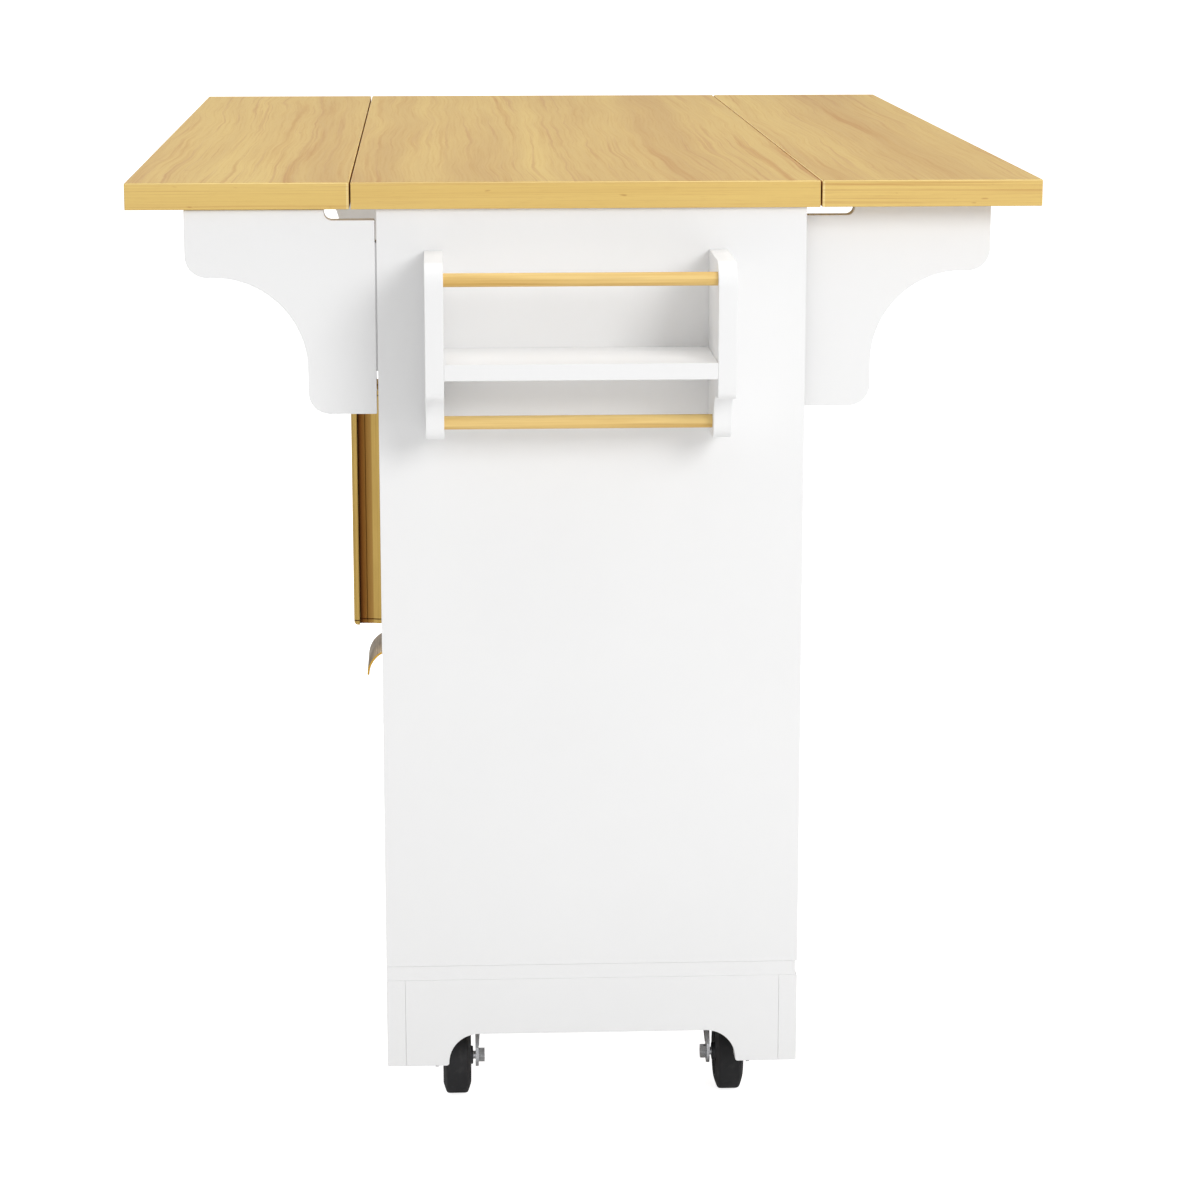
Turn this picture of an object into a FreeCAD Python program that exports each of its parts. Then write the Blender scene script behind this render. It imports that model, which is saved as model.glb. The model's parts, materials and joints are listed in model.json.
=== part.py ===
import FreeCAD, Part
import os
import Sketcher
from FreeCAD import Placement, Rotation, Vector

# Rolling kitchen island: two drop leaves on swing-out brackets, an end rack, two doors and three drawers.
# Frame: X along the worktop with the rack at +X, the door side faces -Y, Z up from the floor. Millimetres.

SIZES = {
    # Worktop and leaves
    "top_height": 915.0,
    "top_thick": 25.0,
    "top_length": 1220.0,
    "center_width": 435.0,
    "leaf_width": 206.0,
    "seam_gap": 1.5,
    "end_overhang": 5.0,
    "front_overhang": 23.0,
    "back_overhang": 12.0,
    "edge_round": 1.5,
    # Cabinet
    "panel_thick": 16.0,
    "board_thick": 14.0,
    "board_short": 2.0,
    "back_recess": 22.0,
    "back_thick": 6.0,
    "door_bay": 540.0,
    "rail_width": 70.0,
    "rail_thick": 15.0,
    "rail_setback": 22.0,
    # Base
    "floor_gap": 54.0,
    "apron_height": 88.0,
    "apron_thick": 18.0,
    "foot_width": 53.0,
    "arch_height": 32.0,
    "arch_flat": 2.0,
    "foot_round": 5.0,
    "beam_width": 80.0,
    # Inner shelf
    "shelf_height": 505.0,
    "shelf_thick": 15.0,
    "shelf_setback": 40.0,
    "shelf_play": 0.5,
    "pin_dia": 5.0,
    "pin_depth": 8.0,
    "pin_reach": 9.0,
    "pin_margin": 45.0,
    # Doors
    "front_thick": 18.0,
    "front_gap": 2.5,
    "front_head": 6.0,
    "nose_flat": 0.5,
    "pivot_dia": 6.0,
    "pivot_seat": 9.0,
    "pivot_reach": 14.0,
    "socket_room": 0.5,
    "run_play": 0.05,
    # Long pulls
    "pull_bottom": 443.0,
    "pull_length": 240.0,
    "pull_margin": 34.0,
    "pull_lip": 6.0,
    "pull_neck": 16.0,
    "pull_foot": 10.0,
    "lip_width": 24.0,
    "neck_width": 8.0,
    "foot_plate": 13.0,
    "lip_round": 3.0,
    # Drawers
    "drawer_room": 24.0,
    "drawer_wall": 12.0,
    "drawer_floor": 5.0,
    "drawer_lift": 10.0,
    "box_low": 18.0,
    "box_drop": 48.0,
    "slide_room": 13.0,
    "track_tall": 36.0,
    "track_wall": 1.4,
    "slide_play": 0.4,
    "track_lip": 9.0,
    "track_low": 38.0,
    # Cup pulls
    "cup_width": 108.0,
    "cup_radius": 32.0,
    "cup_wall": 2.5,
    "cup_strip": 15.0,
    "cup_drop": 30.0,
    # Swing brackets
    "bracket_reach": 177.0,
    "bracket_height": 191.0,
    "bracket_foot": 65.0,
    "bracket_lip": 63.0,
    "bracket_flat": 6.0,
    "bracket_corner": 20.0,
    "notch_width": 48.0,
    "notch_depth": 10.0,
    "notch_round": 7.0,
    "bracket_play": 0.5,
    "bracket_inset": 12.0,
    # Hinges
    "barrel_dia": 5.0,
    "hinge_pin": 3.0,
    "hinge_gap": 1.5,
    "butt_plate": 0.7,
    "butt_width": 13.0,
    "butt_length": 120.0,
    "butt_low": 40.0,
    "barrel_sink": 0.5,
    "flap_plate": 1.5,
    "flap_width": 25.0,
    "flap_length": 60.0,
    "flap_margin": 300.0,
    "barrel_room": 0.3,
    # End rack
    "rack_depth": 110.0,
    "rack_width": 282.0,
    "rack_front": 44.0,
    "rack_side": 17.0,
    "rack_drop": 39.0,
    "rack_under": 6.0,
    "rack_out": 48.0,
    "lug_tall": 57.0,
    "rack_crown": 24.0,
    "rack_cove": 30.0,
    "rack_nose": 9.0,
    "rack_toe": 14.0,
    "ledge_drop": 91.0,
    "ledge_thick": 15.0,
    "rod_dia": 12.5,
    "rod_seat": 9.0,
    "guard_drop": 16.0,
    "guard_inset": 13.0,
    "towel_rise": 15.0,
    "towel_inset": 16.0,
    # Casters
    "swivel_inset": 106.0,
    "swivel_front": 68.0,
    "swivel_back": 61.0,
    "caster_height": 103.0,
    "caster_plate": 3.0,
    "plate_side": 62.0,
    "race_radius": 18.0,
    "race_play": 0.3,
    "king_radius": 6.0,
    "king_head": 10.0,
    "crown_drop": 11.0,
    "fork_sheet": 3.0,
    "fork_width": 43.0,
    "fork_half": 20.0,
    "fork_ear": 11.0,
    "ear_flat": 1.1,
    "trail": 30.0,
    "wheel_dia": 75.0,
    "wheel_width": 32.0,
    "tread_width": 21.0,
    "shoulder": 4.0,
    "rim_radius": 24.0,
    "dish_depth": 3.0,
    "hub_radius": 9.0,
    "hub_play": 0.5,
    "axle_dia": 8.0,
    "nut_radius": 7.0,
    "nut_thick": 6.0,
}
SAME_SPOT = 1e-4

doc = FreeCAD.newDocument("kitchen_island")
sheet = doc.addObject("Spreadsheet::Sheet", "dims")
for row, (alias, size) in enumerate(SIZES.items(), start=1):
    sheet.set(f"A{row}", alias)
    sheet.set(f"B{row}", str(size))
    sheet.setAlias(f"B{row}", alias)
doc.recompute()

# Planes and lines that several pieces share, as expressions on the sheet
MID_X = "(dims.end_overhang - dims.rack_depth) / 2"
TOP_NEAR = f"({MID_X} + dims.top_length / 2)"
TOP_FAR = f"({MID_X} - dims.top_length / 2)"
NEAR_X = f"({TOP_NEAR} - dims.end_overhang)"
FAR_X = f"({TOP_FAR} + dims.end_overhang)"
NEAR_IN = f"({NEAR_X} - dims.panel_thick)"
FAR_IN = f"({FAR_X} + dims.panel_thick)"
SPLIT_NEAR = f"({NEAR_IN} - dims.door_bay)"
SPLIT_FAR = f"({SPLIT_NEAR} - dims.panel_thick)"
FRONT_Y = "(dims.front_overhang - dims.center_width / 2)"
BACK_Y = "(dims.center_width / 2 - dims.back_overhang)"
BACK_OUT = f"({BACK_Y} - dims.back_recess)"
BACK_IN = f"({BACK_OUT} - dims.back_thick)"
INSET_Y = f"({FRONT_Y} + dims.front_thick)"
UNDER_Z = "(dims.top_height - dims.top_thick)"
BOARD_Z = "(dims.floor_gap + dims.apron_height)"
DECK_Z = f"({BOARD_Z} + dims.board_thick)"
SEAM_Y = "(dims.center_width / 2 + dims.seam_gap / 2)"
DOOR_WIDTH = "((dims.door_bay - 3 * dims.front_gap) / 2)"
FRONT_PITCH = f"(({UNDER_Z} - {DECK_Z} - dims.front_head) / 3)"
BARREL_STAND = "(dims.barrel_dia / 2 + dims.barrel_room)"

nodes = {}


def mm(expression):
    """Value of an expression on the sheet."""
    return float(sheet.evalExpression(expression))


def keep(name, piece):
    """Register a finished sub-part under its node name."""
    piece.Label = name
    nodes[name] = piece
    return piece


def place(piece, origin):
    """Bind the piece's position to three expressions."""
    for axis, expression in zip("xyz", origin):
        piece.setExpression(f"Placement.Base.{axis}", str(expression))


def block(name, low, high):
    """Box between two corners."""
    piece = doc.addObject("Part::Box", name)
    for side, start, end in zip(("Length", "Width", "Height"), low, high):
        piece.setExpression(side, f"({end}) - ({start})")
    place(piece, low)
    return piece


def rod(name, base, radius, length, axis):
    """Cylinder from its base point along a unit axis."""
    piece = doc.addObject("Part::Cylinder", name)
    piece.Placement = Placement(Vector(), Rotation(Vector(0, 0, 1), Vector(*axis)))
    piece.setExpression("Radius", radius)
    piece.setExpression("Height", length)
    place(piece, base)
    return piece


def fuse(name, pieces):
    """One solid from touching or crossing pieces."""
    joined = doc.addObject("Part::MultiFuse", name)
    joined.Shapes = pieces
    joined.Refine = True
    return joined


def cut(name, base, tools):
    """Base less one or more tools."""
    tool = tools[0] if len(tools) == 1 else fuse(f"{name}_tools", tools)
    result = doc.addObject("Part::Cut", name)
    result.Base = base
    result.Tool = tool
    return result


def gather(name, pieces):
    """Separate solids kept together as one group."""
    group = doc.addObject("Part::Compound", name)
    group.Links = pieces
    return group


def outline(body, name, plane, corners):
    """Closed sketch whose corners are bound to expressions, each across, along and perhaps a radius."""
    sketch = body.newObject("Sketcher::SketchObject", name)
    support = next(item for item in body.Origin.OriginFeatures if item.Role == plane)
    sketch.AttachmentSupport = [(support, "")]
    sketch.MapMode = "FlatFace"
    points = [Vector(mm(across), mm(along), 0) for across, along, *_ in corners]
    count = len(points)
    for index, start in enumerate(points):
        sketch.addGeometry(Part.LineSegment(start, points[(index + 1) % count]))
    for index, (across, along, *_) in enumerate(corners):
        point = points[index]
        sketch.addConstraint(Sketcher.Constraint("Coincident", index, 2, (index + 1) % count, 1))
        for kind, size, at in (("DistanceX", across, point.x), ("DistanceY", along, point.y)):
            number = sketch.addConstraint(Sketcher.Constraint(kind, -1, 1, index, 1, at))
            sketch.setExpression(f"Constraints[{number}]", size)
    return sketch


def corner_edges(shape, plane, point):
    """Names of the edges that run square to the plane through one outline corner."""
    axes = {"YZ_Plane": ("y", "z"), "XZ_Plane": ("x", "z"), "XY_Plane": ("x", "y")}[plane]
    found = []
    for number, edge in enumerate(shape.Edges, start=1):
        ends = [vertex.Point for vertex in edge.Vertexes]
        offsets = [abs(getattr(end, axis) - value) for end in ends for axis, value in zip(axes, point)]
        if max(offsets) < SAME_SPOT:
            found.append(f"Edge{number}")
    return found


def slab(name, plane, corners, depth, origin):
    """Outline padded square to its plane, with the corners that name a radius rounded."""
    body = doc.addObject("PartDesign::Body", name)
    tip = body.newObject("PartDesign::Pad", f"{name}_pad")
    tip.Profile = outline(body, f"{name}_outline", plane, corners)
    tip.setExpression("Length", depth)
    tip.Reversed = plane == "XZ_Plane"
    rounds = {}
    for across, along, *radii in corners:
        for radius in radii:
            rounds.setdefault(radius, []).append((mm(across), mm(along)))
    for step, (radius, points) in enumerate(rounds.items()):
        doc.recompute()
        edges = [edge for point in points for edge in corner_edges(tip.Shape, plane, point)]
        rounded = body.newObject("PartDesign::Fillet", f"{name}_round_{step}")
        rounded.Base = (tip, edges)
        rounded.setExpression("Radius", radius)
        tip = rounded
    body.Tip = tip
    place(body, origin)
    return body


def turned(name, corners, origin):
    """Outline of radius and height turned about the Y axis."""
    body = doc.addObject("PartDesign::Body", name)
    sketch = outline(body, f"{name}_outline", "XY_Plane", corners)
    turn = body.newObject("PartDesign::Revolution", f"{name}_turn")
    turn.Profile = sketch
    turn.ReferenceAxis = (sketch, ["V_Axis"])
    body.Tip = turn
    place(body, origin)
    return body


def repeat(name, master, placements):
    """Copies of one piece at several placements, as one group of solids."""
    doc.recompute()
    copies = []
    for placement in placements:
        copy = master.Shape.copy()
        copy.Placement = placement.multiply(master.Placement)
        copies += copy.Solids
    group = doc.addObject("Part::Feature", name)
    group.Shape = Part.makeCompound(copies)
    return group


def outer_knuckles(length):
    """Lower and upper third of a hinge, for the fixed half."""
    return [("0", f"{length} / 3"), (f"{length} * 2 / 3", length)]


def middle_knuckle(length):
    """Middle third of a hinge with running room, for the moving half."""
    return [(f"{length} / 3 + dims.barrel_room", f"{length} * 2 / 3 - dims.barrel_room")]


def half_hinge(name, side, low, high, width, length, knuckles, play):
    """Hinge plate on its knuckles, with the pin's line along Z through the origin."""
    start = f"{side} * {BARREL_STAND}"
    end = f"{side} * ({width})"
    inner, outer = (start, end) if side > 0 else (end, start)
    tongue_low, tongue_high = ("0", start) if side > 0 else (start, "0")
    pieces = [block(f"{name}_plate", (inner, low, "0"), (outer, high, length))]
    for index, (bottom, top) in enumerate(knuckles):
        tongue = f"{name}_tongue_{index}"
        pieces.append(block(tongue, (tongue_low, low, bottom), (tongue_high, high, top)))
        pieces.append(rod(f"{name}_knuckle_{index}", ("0", "0", bottom), "dims.barrel_dia / 2",
                          f"({top}) - ({bottom})", (0, 0, 1)))
    solid = fuse(f"{name}_solid", pieces)
    bore = rod(f"{name}_bore", ("0", "0", "0"), f"dims.hinge_pin / 2 + {play}", length, (0, 0, 1))
    return cut(name, solid, [bore])


# Worktop: fixed center board and a leaf on each long side
def worktop_board(name, low_y, high_y):
    """Board of full worktop length between two Y lines, its upper edges eased."""
    corners = [(TOP_FAR, low_y), (TOP_NEAR, low_y), (TOP_NEAR, high_y), (TOP_FAR, high_y)]
    body = slab(name, "XY_Plane", corners, "dims.top_thick", ("0", "0", UNDER_Z))
    doc.recompute()
    pad = body.Tip
    flat = pad.Shape
    edges = [f"Edge{number}" for number, edge in enumerate(flat.Edges, start=1)
             if edge.BoundBox.ZMin > flat.BoundBox.ZMax - SAME_SPOT]
    eased = body.newObject("PartDesign::Fillet", f"{name}_eased")
    eased.Base = (pad, edges)
    eased.setExpression("Radius", "dims.edge_round")
    body.Tip = eased
    return body


center_blank = worktop_board("top_blank", "-dims.center_width / 2", "dims.center_width / 2")
LEAF_EDGE = "(dims.center_width / 2 + dims.seam_gap)"
keep("leaf_front", worktop_board("leaf_front", f"-{LEAF_EDGE} - dims.leaf_width", f"-{LEAF_EDGE}"))
keep("leaf_back", worktop_board("leaf_back", LEAF_EDGE, f"{LEAF_EDGE} + dims.leaf_width"))

# Door pivots: steel pins in the bottom board and under the worktop
PIVOT_EDGE = "(dims.front_thick / 2)"
PIVOT_X = {
    "near": f"({NEAR_IN} - dims.front_gap - {PIVOT_EDGE})",
    "far": f"({SPLIT_NEAR} + dims.front_gap + {PIVOT_EDGE})",
}
PIVOT_Y = f"({FRONT_Y} + {PIVOT_EDGE})"
PIVOT_LENGTH = {
    "low": "(dims.pivot_seat + dims.front_gap + dims.pivot_reach)",
    "high": "(dims.pivot_seat + dims.front_head + dims.pivot_reach)",
}
PIVOT_Z = {
    "low": f"({DECK_Z} - dims.pivot_seat)",
    "high": f"({UNDER_Z} - dims.front_head - dims.pivot_reach)",
}


def pivot_pins(tag, level):
    """Upright pins of both doors at one level."""
    return [rod(f"{tag}_{side}_{level}", (at, PIVOT_Y, PIVOT_Z[level]), "dims.pivot_dia / 2",
                PIVOT_LENGTH[level], (0, 0, 1))
            for side, at in PIVOT_X.items()]


keep("door_pivots", gather("door_pivots", pivot_pins("pivot", "low") + pivot_pins("pivot", "high")))
keep("top_center", cut("top_center", center_blank, pivot_pins("top_seat", "high")))
board_blank = block("board_blank", (FAR_X, FRONT_Y, BOARD_Z),
                    (NEAR_X, f"{BACK_Y} - dims.board_short", DECK_Z))
keep("bottom_board", cut("bottom_board", board_blank, pivot_pins("board_seat", "low")))

# Inner shelf on four pins
SHELF_LOW = "dims.shelf_height"
SHELF_FRONT = f"({INSET_Y} + dims.shelf_setback)"
PIN_Y = {"front": f"({SHELF_FRONT} + dims.pin_margin)", "back": f"({BACK_IN} - dims.pin_margin)"}
PIN_Z = f"({SHELF_LOW} - dims.pin_dia / 2)"


def shelf_pins(tag, wall):
    """Front and back pin of one cabinet wall."""
    start = f"{NEAR_IN} - dims.pin_reach" if wall == "near" else f"{SPLIT_NEAR} - dims.pin_depth"
    return [rod(f"{tag}_{wall}_{side}", (start, at, PIN_Z), "dims.pin_dia / 2",
                "dims.pin_depth + dims.pin_reach", (1, 0, 0))
            for side, at in PIN_Y.items()]


keep("inner_shelf", block("inner_shelf", (f"{SPLIT_NEAR} + dims.shelf_play", SHELF_FRONT, SHELF_LOW),
                          (f"{NEAR_IN} - dims.shelf_play", BACK_IN, f"{SHELF_LOW} + dims.shelf_thick")))
keep("shelf_pins", gather("shelf_pins", shelf_pins("pin", "near") + shelf_pins("pin", "far")))

# Cabinet panels and top rails
near_blank = block("near_blank", (NEAR_IN, FRONT_Y, DECK_Z), (NEAR_X, BACK_Y, UNDER_Z))
keep("end_panel_rack", cut("end_panel_rack", near_blank, shelf_pins("near_seat", "near")))
keep("end_panel_plain", block("end_panel_plain", (FAR_X, FRONT_Y, DECK_Z), (FAR_IN, BACK_Y, UNDER_Z)))
split_blank = block("split_blank", (SPLIT_FAR, FRONT_Y, DECK_Z), (SPLIT_NEAR, BACK_IN, UNDER_Z))
keep("partition", cut("partition", split_blank, shelf_pins("split_seat", "far")))
keep("back_panel", block("back_panel", (FAR_IN, BACK_IN, DECK_Z), (NEAR_IN, BACK_OUT, UNDER_Z)))
RAIL_Z = f"({UNDER_Z} - dims.rail_thick)"
RAIL_Y = {"front": f"({FRONT_Y} + dims.rail_setback)", "back": f"({BACK_IN} - dims.rail_width)"}
rails = []
for bay, start, end in (("door", SPLIT_NEAR, NEAR_IN), ("drawer", FAR_IN, SPLIT_FAR)):
    for side, at in RAIL_Y.items():
        rails.append(block(f"rail_{bay}_{side}", (start, at, RAIL_Z),
                           (end, f"{at} + dims.rail_width", UNDER_Z)))
keep("top_rails", gather("top_rails", rails))


# Base: aprons with an arched cut-out between the feet, and beams that carry the casters
def apron_corners(start, end, foot):
    """Outline of an apron, with its foot at each end."""
    low = "dims.floor_gap"
    crest = "(dims.floor_gap + dims.arch_height)"
    arch = "dims.arch_height - dims.foot_round - dims.arch_flat"
    toe = "dims.foot_round"
    rise = f"{start} + {foot}"
    fall = f"{end} - {foot}"
    return [(start, low), (rise, low, toe), (rise, crest, arch), (fall, crest, arch),
            (fall, low, toe), (end, low), (end, BOARD_Z), (start, BOARD_Z)]


for side, at in (("front", FRONT_Y), ("back", f"{BACK_Y} - dims.apron_thick")):
    corners = apron_corners(FAR_X, NEAR_X, "dims.foot_width")
    keep(f"apron_{side}", slab(f"apron_{side}", "XZ_Plane", corners, "dims.apron_thick", ("0", at, "0")))
APRON_START = f"({FRONT_Y} + dims.apron_thick)"
APRON_END = f"({BACK_Y} - dims.apron_thick)"
END_FOOT = "(dims.foot_width - dims.apron_thick)"
end_aprons = [slab(f"end_apron_{side}", "YZ_Plane", apron_corners(APRON_START, APRON_END, END_FOOT),
                   "dims.apron_thick", (at, "0", "0"))
              for side, at in (("near", f"{NEAR_X} - dims.apron_thick"), ("far", FAR_X))]
keep("apron_ends", gather("apron_ends", end_aprons))
SWIVEL_X = {"near": f"({NEAR_X} - dims.swivel_inset)", "far": f"({FAR_X} + dims.swivel_inset)"}
SWIVEL_Y = {"front": f"({FRONT_Y} + dims.swivel_front)", "back": f"({BACK_Y} - dims.swivel_back)"}
beams = [block(f"beam_{side}", (f"{at} - dims.beam_width / 2", APRON_START, "dims.caster_height"),
               (f"{at} + dims.beam_width / 2", APRON_END, BOARD_Z))
         for side, at in SWIVEL_X.items()]
keep("caster_beams", gather("caster_beams", beams))

# Doors: bull-nosed at the pivot edge, each with a long profiled pull beside the meeting line
DOOR_LOW = f"({DECK_Z} + dims.front_gap)"
DOOR_TALL = f"({UNDER_Z} - {DECK_Z} - dims.front_gap - dims.front_head)"
DOOR_SPAN = {
    "near": (f"({NEAR_IN} - dims.front_gap - {DOOR_WIDTH})", f"({NEAR_IN} - dims.front_gap)"),
    "far": (f"({SPLIT_NEAR} + dims.front_gap)", f"({SPLIT_NEAR} + dims.front_gap + {DOOR_WIDTH})"),
}


def pull_corners():
    """Section of a long pull: foot on the door, neck, and the lip that fingers go behind."""
    lip = "dims.lip_width / 2"
    neck = "dims.neck_width / 2"
    foot = "dims.foot_plate / 2"
    foot_end = "(-dims.pull_foot)"
    neck_end = "(-dims.pull_foot - dims.pull_neck)"
    lip_end = "(-dims.pull_foot - dims.pull_neck - dims.pull_lip)"
    right = [(foot, "0"), (foot, foot_end), (neck, foot_end), (neck, neck_end), (lip, neck_end),
             (lip, lip_end, "dims.lip_round")]
    left = [(f"-({across})", along, *radius) for across, along, *radius in reversed(right)]
    return right + left


DOOR_NOSE = "dims.front_thick / 2 - dims.nose_flat"
SOCKET_DEEP = "(dims.pivot_reach + dims.socket_room)"
SOCKET_Z = {"low": DOOR_LOW, "high": f"{DOOR_LOW} + {DOOR_TALL} - {SOCKET_DEEP}"}
for side, (start, end) in DOOR_SPAN.items():
    pivot_edge, free_edge = (end, start) if side == "near" else (start, end)
    corners = [(free_edge, FRONT_Y), (pivot_edge, FRONT_Y, DOOR_NOSE), (pivot_edge, INSET_Y, DOOR_NOSE),
               (free_edge, INSET_Y)]
    panel = slab(f"door_{side}_blank", "XY_Plane", corners, DOOR_TALL, ("0", "0", DOOR_LOW))
    sockets = [rod(f"door_{side}_socket_{level}", (PIVOT_X[side], PIVOT_Y, at),
                   "dims.pivot_dia / 2 + dims.run_play", SOCKET_DEEP, (0, 0, 1))
               for level, at in SOCKET_Z.items()]
    keep(f"door_{side}", cut(f"door_{side}", panel, sockets))
    at_x = f"{start} + dims.pull_margin" if side == "near" else f"{end} - dims.pull_margin"
    keep(f"door_{side}_pull", slab(f"door_{side}_pull", "XY_Plane", pull_corners(), "dims.pull_length",
                                   (at_x, FRONT_Y, "dims.pull_bottom")))

# Drawers: inset front, box, runners on both sides, and a cup pull
BAY_MID = f"(({FAR_IN} + {SPLIT_FAR}) / 2)"
FACE_LOW_X = f"({FAR_IN} + dims.front_gap)"
FACE_HIGH_X = f"({SPLIT_FAR} - dims.front_gap)"
BOX_LOW_X = f"({FAR_IN} + dims.slide_room)"
BOX_HIGH_X = f"({SPLIT_FAR} - dims.slide_room)"
BOX_BACK = f"({BACK_IN} - dims.drawer_room)"


def runner_corners(side):
    """Channel section of a fixed track, opening away from its wall."""
    tall = "dims.track_tall / 2"
    wall = "dims.track_wall"
    inner = f"({tall} - {wall})"
    lip = "dims.track_lip"
    points = [("0", f"-{tall}"), (lip, f"-{tall}"), (lip, f"-{inner}"), (wall, f"-{inner}"),
              (wall, inner), (lip, inner), (lip, tall), ("0", tall)]
    return [(f"{side} * ({across})", along) for across, along in points]


tracks = []
for number in (1, 2, 3):
    name = f"drawer_{number}"
    face_low = f"({DECK_Z} + dims.front_gap + {3 - number} * {FRONT_PITCH})"
    face_high = f"({face_low} + {FRONT_PITCH} - dims.front_gap)"
    keep(f"{name}_front", block(f"{name}_front", (FACE_LOW_X, FRONT_Y, face_low),
                                (FACE_HIGH_X, INSET_Y, face_high)))
    box_low = f"({face_low} + dims.box_low)"
    box_high = f"({face_high} - dims.box_drop)"
    wall_low = f"({BOX_LOW_X} + dims.drawer_wall)"
    wall_high = f"({BOX_HIGH_X} - dims.drawer_wall)"
    back_start = f"({BOX_BACK} - dims.drawer_wall)"
    floor_low = f"({box_low} + dims.drawer_lift)"
    floor_high = f"({floor_low} + dims.drawer_floor)"
    box = [
        block(f"{name}_side_far", (BOX_LOW_X, INSET_Y, box_low), (wall_low, BOX_BACK, box_high)),
        block(f"{name}_side_near", (wall_high, INSET_Y, box_low), (BOX_HIGH_X, BOX_BACK, box_high)),
        block(f"{name}_back", (wall_low, back_start, box_low), (wall_high, BOX_BACK, box_high)),
        block(f"{name}_floor", (wall_low, INSET_Y, floor_low), (wall_high, back_start, floor_high)),
    ]
    keep(f"{name}_box", gather(f"{name}_box", box))
    track_mid = f"({box_low} + dims.track_low)"
    slide_half = "(dims.track_tall / 2 - dims.track_wall - dims.slide_play)"
    slides = []
    for end, side, wall, box_face in (("far", 1, FAR_IN, BOX_LOW_X), ("near", -1, SPLIT_FAR, BOX_HIGH_X)):
        tracks.append(slab(f"{name}_track_{end}", "XZ_Plane", runner_corners(side),
                           f"{BOX_BACK} - {INSET_Y}", (wall, INSET_Y, track_mid)))
        slide_face = f"({wall} + {side} * (dims.track_wall + dims.slide_play))"
        low_x, high_x = (slide_face, box_face) if side > 0 else (box_face, slide_face)
        slides.append(block(f"{name}_slide_{end}", (low_x, INSET_Y, f"{track_mid} - {slide_half}"),
                            (high_x, BOX_BACK, f"{track_mid} + {slide_half}")))
    keep(f"{name}_slides", gather(f"{name}_slides", slides))
    cup_low = f"(({face_low} + {face_high}) / 2 - dims.cup_drop)"
    shell = rod(f"{name}_cup_outer", ("0", "0", "0"), "dims.cup_radius", "dims.cup_width", (0, 0, 1))
    hollow = rod(f"{name}_cup_inner", ("0", "0", "0"), "dims.cup_radius - dims.cup_wall", "dims.cup_width",
                 (0, 0, 1))
    shell.Angle = 90
    quarter = cut(f"{name}_cup_shell", shell, [hollow])
    strip = block(f"{name}_cup_strip", ("dims.cup_radius - dims.cup_strip", "0", "0"),
                  ("dims.cup_radius", "dims.cup_wall", "dims.cup_width"))
    inside = rod(f"{name}_cup_bound", ("0", "0", "0"), "dims.cup_radius", "dims.cup_width", (0, 0, 1))
    strap = doc.addObject("Part::Common", f"{name}_cup_strap")
    strap.Base = strip
    strap.Tool = inside
    cup = fuse(f"{name}_pull", [quarter, strap])
    cup.Placement = Placement(Vector(), Rotation(Vector(0, 0, 1), Vector(0, -1, 0), Vector(1, 0, 0), "ZYX"))
    place(cup, (f"{BAY_MID} - dims.cup_width / 2", FRONT_Y, cup_low))
    keep(f"{name}_pull", cup)
keep("runner_tracks", gather("runner_tracks", tracks))


# Swing brackets with a scrolled lower edge, on butt hinges
def bracket_corners(direction, inset):
    """Outline of a bracket: foot, cove, lip under the leaf and the notch that clears the leaf hinges."""
    tall = "dims.bracket_height"
    step = "(dims.bracket_height - dims.bracket_lip)"
    sill = "(dims.bracket_height - dims.notch_depth)"
    reach = f"({inset} + dims.bracket_reach)"
    foot = f"({inset} + dims.bracket_foot)"
    notch = f"({inset} + dims.notch_width)"
    corner = "dims.bracket_corner"
    cove = "dims.bracket_reach - dims.bracket_foot - dims.bracket_corner - dims.bracket_flat"
    points = [("0", "0"), (foot, "0", corner), (foot, step, cove), (reach, step, corner), (reach, tall),
              (notch, tall), (notch, sill, "dims.notch_round"), ("0", sill)]
    return [(f"{direction} * ({across})", along, *radius) for across, along, *radius in points]


BRACKET_Z = f"({UNDER_Z} - dims.bracket_play - dims.bracket_height)"
BRACKET_FACE = {
    ("front", "near"): NEAR_IN,
    ("front", "far"): FAR_X,
    ("back", "near"): f"({NEAR_IN} - dims.bracket_inset - dims.panel_thick)",
    ("back", "far"): f"({FAR_IN} + dims.bracket_inset)",
}
BRACKET_ROOT = {"front": f"({FRONT_Y} - dims.hinge_gap)", "back": f"({BACK_OUT} + dims.hinge_gap)"}
BRACKET_DEEP = {"front": "(-dims.hinge_gap)", "back": "(dims.back_recess - dims.hinge_gap)"}
BUTT_FACE = f"(dims.hinge_gap - {BARREL_STAND})"
butt_fixed = half_hinge("butt_fixed", 1, f"-{BARREL_STAND}", f"dims.butt_plate - {BARREL_STAND}",
                        "dims.butt_width", "dims.butt_length", outer_knuckles("dims.butt_length"), "0")
butt_moving = half_hinge("butt_moving", 1, f"{BUTT_FACE} - dims.butt_plate", BUTT_FACE, "dims.butt_width",
                         "dims.butt_length", middle_knuckle("dims.butt_length"), "dims.run_play")
butt_pin = rod("butt_pin", ("0", "0", "0"), "dims.hinge_pin / 2", "dims.butt_length", (0, 0, 1))
butt_places = []
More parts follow.
